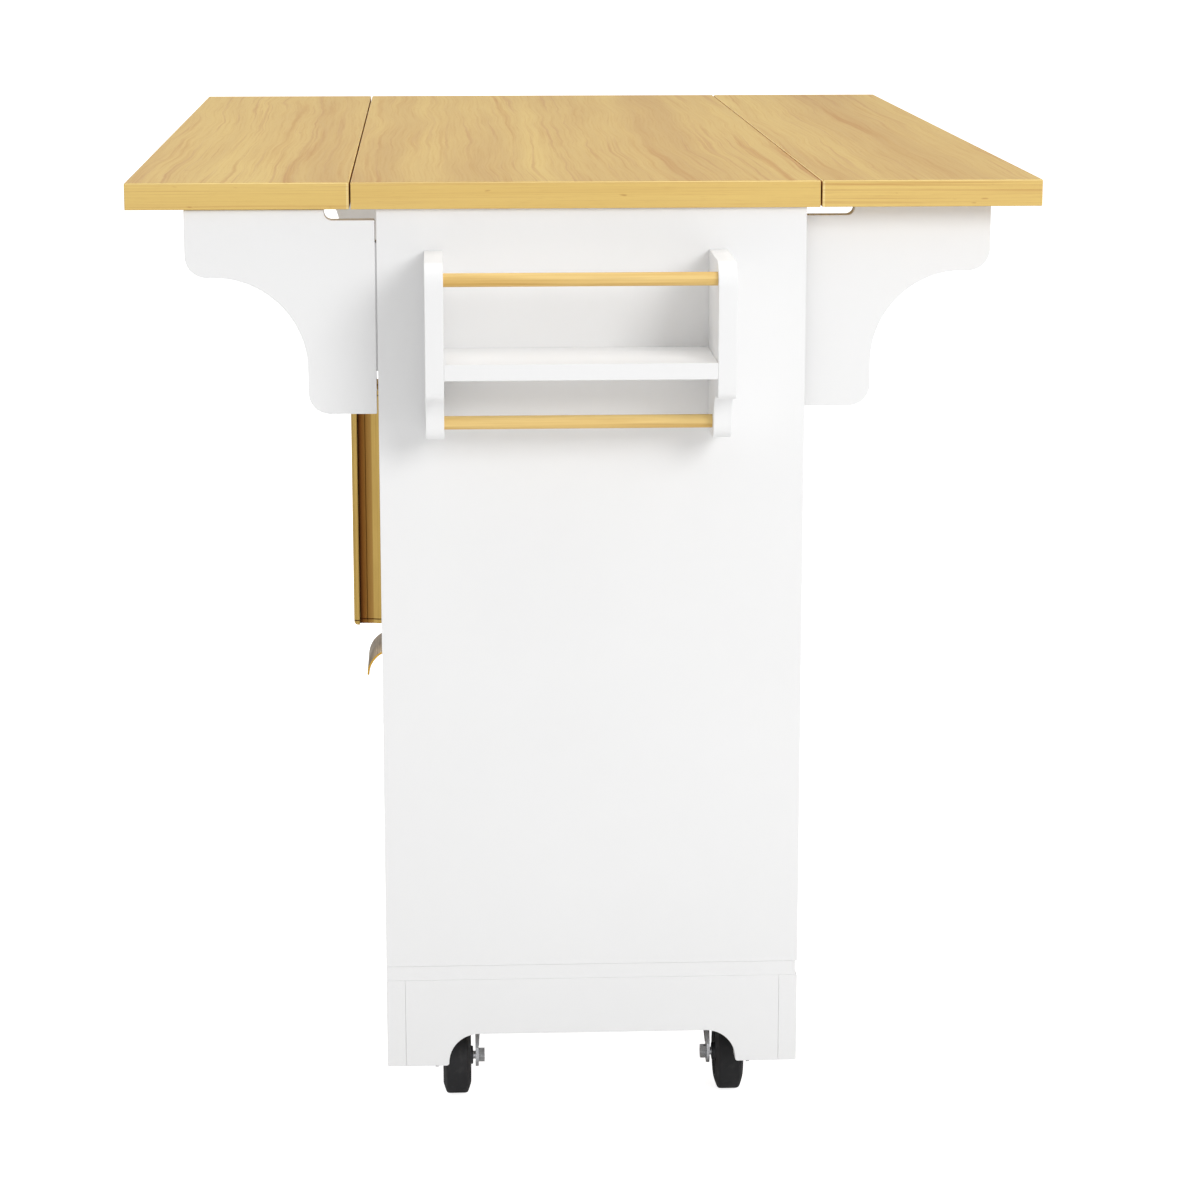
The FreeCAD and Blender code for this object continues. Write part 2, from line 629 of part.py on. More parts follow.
for (side, end), face in BRACKET_FACE.items():
    name = f"bracket_{side}_{end}"
    direction = -1 if side == "front" else 1
    root = BRACKET_ROOT[side]
    board = slab(f"{name}_board", "YZ_Plane", bracket_corners(direction, BRACKET_DEEP[side]),
                 "dims.panel_thick", (face, root, BRACKET_Z))
    inner_face = face if end == "near" else f"({face} + dims.panel_thick)"
    inward = -1 if end == "near" else 1
    rebate_in = f"{inner_face} - {inward} * (dims.barrel_sink + {BARREL_STAND})"
    rebate_out = f"{root} + {direction} * (2 * {BARREL_STAND} - dims.hinge_gap)"
    low_x, high_x = sorted((inner_face, rebate_in), key=mm)
    low_y, high_y = sorted((root, rebate_out), key=mm)
    rebate_low = f"({BRACKET_Z} + dims.butt_low - dims.barrel_room)"
    rebate = block(f"{name}_rebate", (low_x, low_y, rebate_low),
                   (high_x, high_y, f"{rebate_low} + dims.butt_length + 2 * dims.barrel_room"))
    keep(name, cut(name, board, [rebate]))
    axis = Vector(mm(f"{inner_face} - {inward} * dims.barrel_sink"),
                  mm(f"{root} + {direction} * ({BARREL_STAND} - dims.hinge_gap)"),
                  mm(f"{BRACKET_Z} + dims.butt_low"))
    plate_way = Vector(-inward, 0, 0)
    gap_way = Vector(0, direction, 0)
    turn = Rotation(plate_way, gap_way, plate_way.cross(gap_way), "XYZ")
    lift = Vector() if plate_way.cross(gap_way).z > 0 else Vector(0, 0, mm("dims.butt_length"))
    butt_places.append(Placement(axis + lift, turn))
    keep(f"{name}_hinge", repeat(f"{name}_hinge", butt_moving, [butt_places[-1]]))
keep("bracket_hinge_plates", repeat("bracket_hinge_plates", butt_fixed, butt_places))

# Leaf hinges under the two seams
FLAP_LOW = "dims.barrel_dia / 2 - dims.flap_plate"
FLAP_HIGH = "dims.barrel_dia / 2"
flap_fixed = half_hinge("flap_fixed", 1, FLAP_LOW, FLAP_HIGH, "dims.flap_width", "dims.flap_length",
                        outer_knuckles("dims.flap_length"), "0")
flap_moving = half_hinge("flap_moving", -1, FLAP_LOW, FLAP_HIGH, "dims.flap_width", "dims.flap_length",
                         middle_knuckle("dims.flap_length"), "dims.run_play")
flap_pin = rod("flap_pin", ("0", "0", "0"), "dims.hinge_pin / 2", "dims.flap_length", (0, 0, 1))
FLAP_X = [f"{TOP_NEAR} - dims.flap_margin", MID_X, f"{TOP_FAR} + dims.flap_margin"]
FLAP_Z = f"{UNDER_Z} - dims.barrel_dia / 2"
flap_places = {}
for side, sign in (("front", -1), ("back", 1)):
    inward = Vector(0, -sign, 0)
    up = Vector(0, 0, 1)
    turn = Rotation(inward, up, inward.cross(up), "XYZ")
    start = inward.cross(up) * mm("-dims.flap_length / 2")
    flap_places[side] = [Placement(Vector(mm(at), sign * mm(SEAM_Y), mm(FLAP_Z)) + start, turn)
                         for at in FLAP_X]
    keep(f"leaf_{side}_hinges", repeat(f"leaf_{side}_hinges", flap_moving, flap_places[side]))
both_seams = flap_places["front"] + flap_places["back"]
keep("leaf_hinge_plates", repeat("leaf_hinge_plates", flap_fixed, both_seams))
flap_pins = repeat("flap_pins", flap_pin, both_seams)
butt_pins = repeat("butt_pins", butt_pin, butt_places)
keep("hinge_pins", gather("hinge_pins", [flap_pins, butt_pins]))

# End rack: two shaped sides, a ledge, a guard rod and a towel rod
RACK_LOW_Y = f"({FRONT_Y} + dims.rack_front)"
RACK_HIGH_Y = f"({RACK_LOW_Y} + dims.rack_width)"
LEDGE_LOW_Y = f"({RACK_LOW_Y} + dims.rack_side)"
LEDGE_HIGH_Y = f"({RACK_HIGH_Y} - dims.rack_side)"
RACK_TOP = f"({UNDER_Z} - dims.rack_drop)"
LEDGE_TOP = f"({RACK_TOP} - dims.ledge_drop)"
LEDGE_LOW = f"({LEDGE_TOP} - dims.ledge_thick)"
RACK_STEP = f"({LEDGE_LOW} - dims.rack_under)"
RACK_LOW = f"({RACK_STEP} - dims.lug_tall)"
RACK_LUG = "(dims.rack_depth - dims.rack_out)"
ROD_SPOTS = {
    "guard": ("dims.rack_depth - dims.guard_inset", f"{RACK_TOP} - dims.guard_drop"),
    "towel": (f"{RACK_LUG} - dims.towel_inset", f"{RACK_LOW} + dims.towel_rise"),
}
RACK_CORNERS = [
    ("0", RACK_LOW),
    (RACK_LUG, RACK_LOW, "dims.rack_toe"),
    (RACK_LUG, RACK_STEP, "dims.rack_cove"),
    ("dims.rack_depth", RACK_STEP, "dims.rack_nose"),
    ("dims.rack_depth", RACK_TOP, "dims.rack_crown"),
    ("0", RACK_TOP),
]


def rack_rod(name, kind):
    """Wooden rod between the rack sides, seated in both."""
    reach, height = ROD_SPOTS[kind]
    return rod(name, (f"{NEAR_X} + {reach}", f"{LEDGE_LOW_Y} - dims.rod_seat", height), "dims.rod_dia / 2",
               f"{LEDGE_HIGH_Y} - {LEDGE_LOW_Y} + 2 * dims.rod_seat", (0, 1, 0))


for side, at in (("front", RACK_LOW_Y), ("back", LEDGE_HIGH_Y)):
    plate = slab(f"rack_{side}_blank", "XZ_Plane", RACK_CORNERS, "dims.rack_side", (NEAR_X, at, "0"))
    seats = [rack_rod(f"rack_{side}_{kind}_seat", kind) for kind in ROD_SPOTS]
    keep(f"rack_side_{side}", cut(f"rack_side_{side}", plate, seats))
keep("rack_ledge", block("rack_ledge", (NEAR_X, LEDGE_LOW_Y, LEDGE_LOW),
                         (f"{NEAR_X} + dims.rack_depth", LEDGE_HIGH_Y, LEDGE_TOP)))
keep("rack_rods", gather("rack_rods", [rack_rod(f"rack_{kind}_rod", kind) for kind in ROD_SPOTS]))

# Casters: plate with king pin, fork that swivels on it, and a wheel on the fork's axle
WHEEL_R = "(dims.wheel_dia / 2)"
FORK_IN = "(dims.fork_width / 2 - dims.fork_sheet)"
HUB_HALF = f"({FORK_IN} - dims.hub_play)"
CROWN_TOP = "(dims.caster_height - dims.crown_drop)"
WHEEL_CORNERS_HALF = [
    ("dims.axle_dia / 2 + dims.run_play", HUB_HALF),
    ("dims.hub_radius", HUB_HALF),
    ("dims.hub_radius", "dims.wheel_width / 2 - dims.dish_depth"),
    ("dims.rim_radius", "dims.wheel_width / 2 - dims.dish_depth"),
    ("dims.rim_radius + dims.dish_depth", "dims.wheel_width / 2"),
    (f"{WHEEL_R} - dims.shoulder", "dims.wheel_width / 2"),
    (WHEEL_R, "dims.tread_width / 2"),
]
WHEEL_CORNERS_BACK = [(radius, f"-({along})") for radius, along in reversed(WHEEL_CORNERS_HALF)]
WHEEL_CORNERS = WHEEL_CORNERS_HALF + WHEEL_CORNERS_BACK
EAR_ROUND = "dims.fork_ear - dims.ear_flat"
FORK_CORNERS = [
    ("-dims.fork_half", CROWN_TOP),
    ("-dims.fork_half", f"{CROWN_TOP} - dims.fork_half / 2"),
    ("dims.trail - dims.fork_ear", f"{WHEEL_R} + dims.fork_ear / 2"),
    ("dims.trail - dims.fork_ear", f"{WHEEL_R} - dims.fork_ear", EAR_ROUND),
    ("dims.trail + dims.fork_ear", f"{WHEEL_R} - dims.fork_ear", EAR_ROUND),
    ("dims.trail + dims.fork_ear", f"{WHEEL_R} + dims.fork_ear"),
    ("dims.fork_half", CROWN_TOP),
]


def caster_plate(name, at_x, at_y):
    """Mounting sheet with its ball race and king pin."""
    half = "dims.plate_side / 2"
    under = "(dims.caster_height - dims.caster_plate)"
    race_low = f"({CROWN_TOP} + dims.race_play)"
    head_top = f"({CROWN_TOP} - dims.fork_sheet - dims.race_play)"
    head_low = f"({head_top} - dims.fork_sheet)"
    return fuse(name, [
        block(f"{name}_sheet", (f"{at_x} - {half}", f"{at_y} - {half}", under),
              (f"{at_x} + {half}", f"{at_y} + {half}", "dims.caster_height")),
        rod(f"{name}_race", (at_x, at_y, race_low), "dims.race_radius", f"{under} - {race_low}", (0, 0, 1)),
        rod(f"{name}_king", (at_x, at_y, head_low), "dims.king_radius", f"{under} - {head_low}", (0, 0, 1)),
        rod(f"{name}_head", (at_x, at_y, head_low), "dims.king_head", "dims.fork_sheet", (0, 0, 1)),
    ])


def caster_fork(name, at_x, at_y):
    """Bent fork with the axle bolt and its nut."""
    cheek = slab(f"{name}_cheek", "XZ_Plane", FORK_CORNERS, "dims.fork_width",
                 (at_x, f"{at_y} - dims.fork_width / 2", "0"))
    space = block(f"{name}_space", (f"{at_x} - 2 * dims.fork_half", f"{at_y} - {FORK_IN}", "0"),
                  (f"{at_x} + dims.trail + 2 * dims.fork_ear", f"{at_y} + {FORK_IN}",
                   f"{CROWN_TOP} - dims.fork_sheet"))
    eye = rod(f"{name}_eye", (at_x, at_y, "0"), "dims.king_radius + dims.run_play", "dims.caster_height",
              (0, 0, 1))
    yoke = cut(f"{name}_yoke", cheek, [space, eye])
    axle_x = f"{at_x} + dims.trail"
    start = f"({at_y} - dims.fork_width / 2 - dims.nut_thick)"
    pieces = [yoke, rod(f"{name}_axle", (axle_x, start, WHEEL_R), "dims.axle_dia / 2",
                        "dims.fork_width + 2 * dims.nut_thick", (0, 1, 0))]
    for side, base in (("head", start), ("nut", f"{at_y} + dims.fork_width / 2")):
        hexagon = doc.addObject("Part::Prism", f"{name}_{side}")
        hexagon.Placement = Placement(Vector(), Rotation(Vector(0, 0, 1), Vector(0, 1, 0)))
        hexagon.setExpression("Circumradius", "dims.nut_radius")
        hexagon.setExpression("Height", "dims.nut_thick")
        place(hexagon, (axle_x, base, WHEEL_R))
        pieces.append(hexagon)
    return fuse(name, pieces)


plates = []
for side, at_y in SWIVEL_Y.items():
    for end, at_x in SWIVEL_X.items():
        name = f"caster_{side}_{end}"
        plates.append(caster_plate(f"{name}_plate", at_x, at_y))
        keep(f"{name}_fork", caster_fork(f"{name}_fork", at_x, at_y))
        axle = (f"{at_x} + dims.trail", at_y, WHEEL_R)
        keep(f"{name}_wheel", turned(f"{name}_wheel", WHEEL_CORNERS, axle))
keep("caster_plates", gather("caster_plates", plates))

doc.recompute()
failed = [item.Name for item in doc.Objects if {"Invalid", "Error"} & set(item.State)]
if failed:
    raise RuntimeError(f"objects left failed: {failed}")
for name, piece in nodes.items():
    if piece.Shape.isNull() or not piece.Shape.isValid():
        raise RuntimeError(f"{name} has no valid shape")
os.makedirs("parts", exist_ok=True)
for name, piece in nodes.items():
    piece.Shape.exportStep(f"parts/{name}.step")
print(f"{len(nodes)} sub-parts written")
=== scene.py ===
"""Kitchen island with drop leaves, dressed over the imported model.

It adds finishes, small hardware, studio light and the camera.
"""

import json
import logging
import math
from dataclasses import dataclass, field
from enum import Enum
from typing import Iterable, Sequence, Union

import bmesh
import bpy
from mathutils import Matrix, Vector


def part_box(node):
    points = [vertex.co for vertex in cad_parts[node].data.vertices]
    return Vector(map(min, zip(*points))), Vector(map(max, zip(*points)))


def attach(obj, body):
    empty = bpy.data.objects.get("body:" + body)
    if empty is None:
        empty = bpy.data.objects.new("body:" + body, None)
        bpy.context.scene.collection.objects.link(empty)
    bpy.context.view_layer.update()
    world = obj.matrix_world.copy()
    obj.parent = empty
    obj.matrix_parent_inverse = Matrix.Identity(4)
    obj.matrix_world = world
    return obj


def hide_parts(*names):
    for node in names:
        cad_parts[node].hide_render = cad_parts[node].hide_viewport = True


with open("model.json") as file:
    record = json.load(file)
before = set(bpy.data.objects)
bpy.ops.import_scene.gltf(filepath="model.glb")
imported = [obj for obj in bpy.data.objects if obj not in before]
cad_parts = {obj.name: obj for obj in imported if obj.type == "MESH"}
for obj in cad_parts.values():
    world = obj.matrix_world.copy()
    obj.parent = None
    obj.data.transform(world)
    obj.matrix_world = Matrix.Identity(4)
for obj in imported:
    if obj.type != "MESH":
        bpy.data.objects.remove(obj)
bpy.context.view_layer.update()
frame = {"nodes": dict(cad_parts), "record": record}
LOG = logging.getLogger("kitchen_island")
MM = 0.001
CASTERS = ("front_near", "front_far", "back_near", "back_far")
SWIVEL_BACK = 20.0 * MM

Span = tuple[float, float]
Triple = tuple[float, float, float]
Colour = tuple[float, float, float, float]
Spot = tuple[Triple, Triple]
Stops = Sequence[tuple[float, Colour]]
Corners = list[bmesh.types.BMVert]
Number = Union["Wire", float]

BLACK: Colour = (0.0, 0.0, 0.0, 1.0)
WHITE: Colour = (1.0, 1.0, 1.0, 1.0)


class Slot(Enum):
    """Material slots of the record."""

    OAK_TOP = "oak_top"
    OAK_ROD = "oak_rod"
    WHITE_BOARD = "white_board"
    BARE_TIMBER = "bare_timber"
    GOLD_PULL = "gold_pull"
    ANTIQUE_BRASS = "antique_brass"
    STEEL = "steel"
    ZINC = "zinc"
    BLACK_RUBBER = "black_rubber"


class Run(Enum):
    """Direction in which a finish is brushed or grained."""

    LENGTH = (1.0, 0.0, 0.0)
    WIDTH = (0.0, 1.0, 0.0)
    HEIGHT = (0.0, 0.0, 1.0)

    def stretched(self, along: float, across: float) -> Triple:
        """Scale that draws a pattern out along this direction.

        Args:
            along: Pattern scale along the direction, per metre.
            across: Pattern scale square to it, per metre.

        Returns:
            The scale on X, Y and Z.
        """
        return tuple(along if part else across for part in self.value)


def tint(red: int, green: int, blue: int) -> Colour:
    """Linear colour of a display colour.

    Args:
        red: Red from 0 to 255.
        green: Green from 0 to 255.
        blue: Blue from 0 to 255.

    Returns:
        Linear red, green, blue and full opacity.
    """
    knee = 0.04045
    parts = [level / 255 for level in (red, green, blue)]
    linear = [part / 12.92 if part <= knee else ((part + 0.055) / 1.055) ** 2.4 for part in parts]
    return (*linear, 1.0)


@dataclass(frozen=True)
class Grain:
    """Layer of noise in a finish, with its scale per metre on each axis."""

    scale: Triple
    detail: float
    rough: float
    start: Triple = (0.0, 0.0, 0.0)
    twist: float = 0.0

    @classmethod
    def even(cls, scale: float, detail: float, rough: float) -> "Grain":
        """Layer with one scale on every axis."""
        return cls((scale, scale, scale), detail, rough)


class Wire:
    """Node socket that takes part in arithmetic, each operation adding a node."""

    def __init__(self, bench: "Bench", socket: bpy.types.NodeSocket) -> None:
        """Wrap an output socket of a node tree."""
        self.bench = bench
        self.socket = socket

    def maths(self, operation: str, *values: Number) -> "Wire":
        """Math node over some values.

        Args:
            operation: Name of the operation.
            values: Its operands, wires or numbers.

        Returns:
            The node's result.
        """
        names = ("Value", "Value_001", "Value_002")
        return self.bench.node("ShaderNodeMath", {"operation": operation}, dict(zip(names, values)))

    def __add__(self, other: Number) -> "Wire":
        """Sum."""
        return self.maths("ADD", self, other)

    def __radd__(self, other: Number) -> "Wire":
        """Sum with a number on the left."""
        return self.maths("ADD", other, self)

    def __sub__(self, other: Number) -> "Wire":
        """Difference."""
        return self.maths("SUBTRACT", self, other)

    def __rsub__(self, other: Number) -> "Wire":
        """Difference from a number on the left."""
        return self.maths("SUBTRACT", other, self)

    def __mul__(self, other: Number) -> "Wire":
        """Product."""
        return self.maths("MULTIPLY", self, other)

    def __rmul__(self, other: Number) -> "Wire":
        """Product with a number on the left."""
        return self.maths("MULTIPLY", other, self)

    def __truediv__(self, other: Number) -> "Wire":
        """Quotient."""
        return self.maths("DIVIDE", self, other)

    def __pow__(self, other: Number) -> "Wire":
        """Power."""
        return self.maths("POWER", self, other)

    def __abs__(self) -> "Wire":
        """Size without sign."""
        return self.maths("ABSOLUTE", self)

    def __gt__(self, other: Number) -> "Wire":
        """One where greater, else zero."""
        return self.maths("GREATER_THAN", self, other)

    def most(self, other: Number) -> "Wire":
        """Greater of two values."""
        return self.maths("MAXIMUM", self, other)

    def sine(self) -> "Wire":
        """Sine of an angle in radians."""
        return self.maths("SINE", self)

    def rise(self, low: float, high: float) -> "Wire":
        """Smooth step from zero at a low value to one at a high value.

        Args:
            low: Value where the step starts.
            high: Value where it ends.

        Returns:
            The step.
        """
        settings = {"interpolation_type": "SMOOTHSTEP"}
        inputs = {"Value": self, "From Min": low, "From Max": high}
        return self.bench.node("ShaderNodeMapRange", settings, inputs)


class Bench:
    """Node tree under construction."""

    def __init__(self, tree: bpy.types.NodeTree) -> None:
        """Work on a tree."""
        self.tree = tree

    def node(
        self, kind: str, settings: dict | None = None, inputs: dict | None = None, out: str = ""
    ) -> Wire:
        """Add a node.

        Args:
            kind: The node's type.
            settings: Its properties.
            inputs: Values or wires by socket identifier or name.
            out: Output socket wanted, the first one when empty.

        Returns:
            The wanted output.
        """
        made = self.tree.nodes.new(kind)
        for key, value in (settings or {}).items():
            setattr(made, key, value)
        for key, value in (inputs or {}).items():
            by_name = [socket for socket in made.inputs if socket.name == key]
            exact = [socket for socket in made.inputs if socket.identifier == key]
            target = (exact or by_name)[0]
            if isinstance(value, Wire):
                self.tree.links.new(value.socket, target)
            else:
                target.default_value = value
        chosen = [socket for socket in made.outputs if out in (socket.identifier, socket.name)]
        return Wire(self, chosen[0] if chosen else made.outputs[0])

    def joined(self, x: Number, y: Number, z: Number) -> Wire:
        """Vector of three values."""
        return self.node("ShaderNodeCombineXYZ", inputs={"X": x, "Y": y, "Z": z})


class Shade(Bench):
    """Node tree of one material."""

    def __init__(self, name: str) -> None:
        """Start an empty material.

        Args:
            name: Name of the material.
        """
        self.material = bpy.data.materials.new(name)
        self.material.use_nodes = True
        super().__init__(self.material.node_tree)
        self.tree.nodes.clear()
        self.sockets: dict[str, Wire] = {}

    def coordinate(self, kind: str) -> Wire:
        """Coordinate of the surface, made once.

        Args:
            kind: Name of the coordinate's output.

        Returns:
            The coordinate.
        """
        if kind not in self.sockets:
            self.sockets[kind] = self.node("ShaderNodeTexCoord", out=kind)
        return self.sockets[kind]

    def place(self) -> Wire:
        """Object coordinates, in metres."""
        return self.coordinate("Object")

    def facing(self) -> Wire:
        """Object-space direction of the surface."""
        return self.coordinate("Normal")

    def split(self, vector: Wire) -> tuple[Wire, Wire, Wire]:
        """Take a vector apart.

        Args:
            vector: Vector to split.

        Returns:
            Its X, Y and Z.
        """
        first = self.node("ShaderNodeSeparateXYZ", inputs={"Vector": vector})
        outputs = first.socket.node.outputs
        return tuple(Wire(self, outputs[index]) for index in range(3))

    def mapped(self, vector: Wire, scale: Triple, shift: Triple) -> Wire:
        """Coordinates scaled, then shifted."""
        inputs = {"Vector": vector, "Scale": scale, "Location": shift}
        return self.node("ShaderNodeMapping", inputs=inputs)

    def centred(self, middle: Triple) -> Wire:
        """Object coordinates measured from a point."""
        return self.mapped(self.place(), (1.0, 1.0, 1.0), tuple(-part for part in middle))

    def grain(self, vector: Wire, layer: Grain) -> Wire:
        """Noise of one layer.

        Args:
            vector: Coordinates, in metres.
            layer: Scale and detail of the noise.

        Returns:
            Noise from zero to one.
        """
        inputs = {
            "Vector": self.mapped(vector, layer.scale, layer.start),
            "Scale": 1.0,
            "Detail": layer.detail,
            "Roughness": layer.rough,
            "Distortion": layer.twist,
        }
        return self.node("ShaderNodeTexNoise", {"noise_dimensions": "3D"}, inputs)

    def ramp(self, value: Wire, stops: Stops) -> Wire:
        """Colour ramp over a value.

        Args:
            value: Value to follow.
            stops: Place and colour of each stop, at least two.

        Returns:
            The colour.
        """
        blended = self.node("ShaderNodeValToRGB", inputs={"Fac": value})
        elements = blended.socket.node.color_ramp.elements
        while len(elements) < len(stops):
            elements.new(1.0)
        for element, (position, colour) in zip(elements, stops):
            element.position = position
            element.color = colour
        return blended

    def fade(self, value: Wire, span: Span, first: Colour, second: Colour) -> Wire:
        """Colour that goes from a first to a second one over a span of a value."""
        return self.ramp(value, list(zip(span, (first, second))))

    def blend(self, factor: Wire, first: object, second: object) -> Wire:
        """Mix of two colours.

        Args:
            factor: Share of the second colour.
            first: Colour or wire where the factor is zero.
            second: Colour or wire where the factor is one.

        Returns:
            The mixed colour.
        """
        inputs = {"Factor_Float": factor, "A_Color": first, "B_Color": second}
        return self.node("ShaderNodeMix", {"data_type": "RGBA"}, inputs, "Result_Color")

    def bump(self, height: Wire, strength: float, distance: float) -> Wire:
        """Bumped normal from a height.

        Args:
            height: Height from zero to one.
            strength: Strength of the effect.
            distance: Real height of the relief, in metres.

        Returns:
            The normal.
        """
        inputs = {"Height": height, "Strength": strength, "Distance": distance}
        return self.node("ShaderNodeBump", inputs=inputs)

    def surface(self, **inputs: object) -> bpy.types.Material:
        """Close the tree with a principled surface.

        Args:
            inputs: Sockets of the surface, with underscores for spaces.

        Returns:
            The finished material.
        """
        named = {key.replace("_", " "): value for key, value in inputs.items()}
        shader = self.node("ShaderNodeBsdfPrincipled", inputs=named)
        output = self.tree.nodes.new("ShaderNodeOutputMaterial")
        self.tree.links.new(shader.socket, output.inputs["Surface"])
        return self.material


@dataclass(frozen=True)
class GrainLines:
    """Set of dark grain lines, stronger in patches and on the edge bands of a board."""

    grain: Grain
    span: Span
    least: float
    on_edge: float
    patches: Span
    in_patch: float
    edge_loss: float
    depth: float

    def draw(self, shade: Shade, run: Wire, patch: Wire, edge: Wire) -> Wire:
        """Strength of the lines over a board.

        Args:
            shade: Material that they belong to.
            run: Coordinates along and across the grain.
            patch: Noise whose high parts carry more lines.
            edge: One on the edge bands, else zero.

        Returns:
            The strength.
        """
        amount = self.least + edge * self.on_edge + patch.rise(*self.patches) * self.in_patch
        return shade.grain(run, self.grain).rise(*self.span) * amount

    def stain(self, lines: Wire, edge: Wire) -> Wire:
        """Share of the dark colour that drawn lines take."""
        return lines * (1 - edge * self.edge_loss) * self.depth


@dataclass(frozen=True)
class GoldenBoard:
    """Lacquered wood sheet with a long flowing figure, yellower edge bands, painted shade in its
    seams and painted highlights on its arrises.
    """

    name: str
    shift: float
    pale: Colour = tint(212, 181, 106)
    warm: Colour = tint(196, 160, 94)
    line: Colour = tint(168, 104, 60)
    body_span: Span = (0.36, 0.64)
    band_pale: Colour = tint(230, 200, 124)
    band_warm: Colour = tint(219, 185, 110)
    band_span: Span = (0.3, 0.72)
    steep: float = 0.6
    band_stretch: float = 2.0
    band_layer: float = 2.3
    band_calm: float = 0.8
    # Painted shade for the side faces inside the gaps between boards.
    painted_seam_shade: Colour = tint(186, 122, 60)
    seam_shade_depth: float = 0.85
    seam_steep: float = 0.9
    seam: float = 219.5 * MM
    # Painted highlight on a thin strip beside each seam and along the top edge of the edge bands,
    # where the eased edges catch light.
    painted_highlight: Colour = tint(244, 222, 158)
    highlight_depth: float = 0.65
    highlight_strip: float = 2.0 * MM
    highlight_low: float = 913.8 * MM
    sway: Grain = Grain((2.2, 5.0, 1.0), 2.0, 0.5)
    sway_reach: float = 45.0 * MM
    quiver: Grain = Grain((15.0, 30.0, 1.0), 2.0, 0.5)
    quiver_reach: float = 4.5 * MM
    figure: Grain = Grain((0.5, 13.0, 1.0), 4.0, 0.6)
    patch: Grain = Grain((1.1, 9.0, 1.0), 2.0, 0.5, (3.1, 0.7, 0.0))
    vein: GrainLines = GrainLines(
        Grain((0.9, 62.0, 1.0), 3.0, 0.6, (5.2, 1.9, 0.0)), (0.54, 0.72),
        least=0.25, on_edge=0.3, patches=(0.42, 0.62), in_patch=0.75, edge_loss=0.4, depth=0.42,
    )
    strand: GrainLines = GrainLines(
        Grain((1.3, 170.0, 1.0), 3.0, 0.65, (8.3, 2.2, 0.0)), (0.53, 0.66),
        least=0.2, on_edge=0.5, patches=(0.4, 0.6), in_patch=0.8, edge_loss=0.15, depth=0.34,
    )
    fibre: Grain = Grain((6.0, 420.0, 1.0), 3.0, 0.65)
    fibre_span: Span = (0.45, 0.8)
    fibre_depth: float = 0.22
    pore: Grain = Grain((60.0, 1300.0, 1.0), 1.0, 0.5)
    pore_span: Span = (0.6, 0.74)
    pore_depth: float = 0.16
    knot: Grain = Grain((70.0, 110.0, 1.0), 0.0, 0.5)
    knot_span: Span = (0.8, 0.88)
    knot_depth: float = 0.2
    knot_on_edge: float = 0.25
    rough: float = 0.36
    fibre_rough: float = 0.12
    vein_rough: float = 0.06
    fibre_high: float = 0.5
    vein_high: float = 0.2
    pore_low: float = 0.6
    relief: float = 0.16
    relief_high: float = 0.3 * MM
    specular: float = 0.14

    def make(self) -> bpy.types.Material:
        """Build the material.

        Returns:
            The material.
        """
        shade = Shade(self.name)
        x, y, z = shade.split(shade.place())
        across_x, across_y, _ = shade.split(shade.facing())
        end = abs(across_x) > self.steep
        edge = end.most(abs(across_y) > self.steep)
        along = x * (1 - end) + y * end
        across = y * (1 - edge) + z * edge * self.band_stretch
        layer = edge * self.band_layer + self.shift
        flat = shade.joined(along, across, layer)
        wave = (shade.grain(flat, self.sway) - 0.5) * self.sway_reach
        ripple = (shade.grain(flat, self.quiver) - 0.5) * self.quiver_reach
        bent = across + (wave + ripple) * (1 - edge * self.band_calm)
        run = shade.joined(along, bent, layer)
        figure = shade.grain(run, self.figure)
        patch = shade.grain(run, self.patch)
        fibre = shade.grain(run, self.fibre)
        pores = shade.grain(run, self.pore).rise(*self.pore_span)
        knots = shade.grain(flat, self.knot).rise(*self.knot_span)
        veins = self.vein.draw(shade, run, patch, edge)
        strands = self.strand.draw(shade, run, patch, edge)
        body = shade.fade(figure, self.body_span, self.pale, self.warm)
        band = shade.fade(figure, self.band_span, self.band_pale, self.band_warm)
        past_seam = abs(y) > self.seam
        # Painted shade: faces inside the gaps between boards take a dark colour in place of the
        # shade in the gap.
        seam_shade_mask = (abs(across_y) > self.seam_steep) * (1 - past_seam)
        # Painted highlight: a strip beside each seam and along the top of the edge bands is made
        # lighter.
        highlight_beside_seam = end * past_seam * (1 - (abs(y) > self.seam + self.highlight_strip))
        highlight_strip = highlight_beside_seam.most(edge * (z > self.highlight_low))
        specks = pores * self.pore_depth + knots * (self.knot_depth + edge * self.knot_on_edge)
        colour = shade.blend(edge, body, band)
        colour = shade.blend(seam_shade_mask * self.seam_shade_depth, colour, self.painted_seam_shade)
        colour = shade.blend(highlight_strip * self.highlight_depth, colour, self.painted_highlight)
        for stain in (self.vein.stain(veins, edge), self.strand.stain(strands, edge),
                      fibre.rise(*self.fibre_span) * self.fibre_depth, specks):
            colour = shade.blend(stain, colour, self.line)
        height = fibre * self.fibre_high + veins * self.vein_high - pores * self.pore_low
        return shade.surface(
            Base_Color=colour,
            Roughness=self.rough + fibre * self.fibre_rough + veins * self.vein_rough,
            Normal=shade.bump(height, self.relief, self.relief_high),
            Specular_IOR_Level=self.specular,
        )


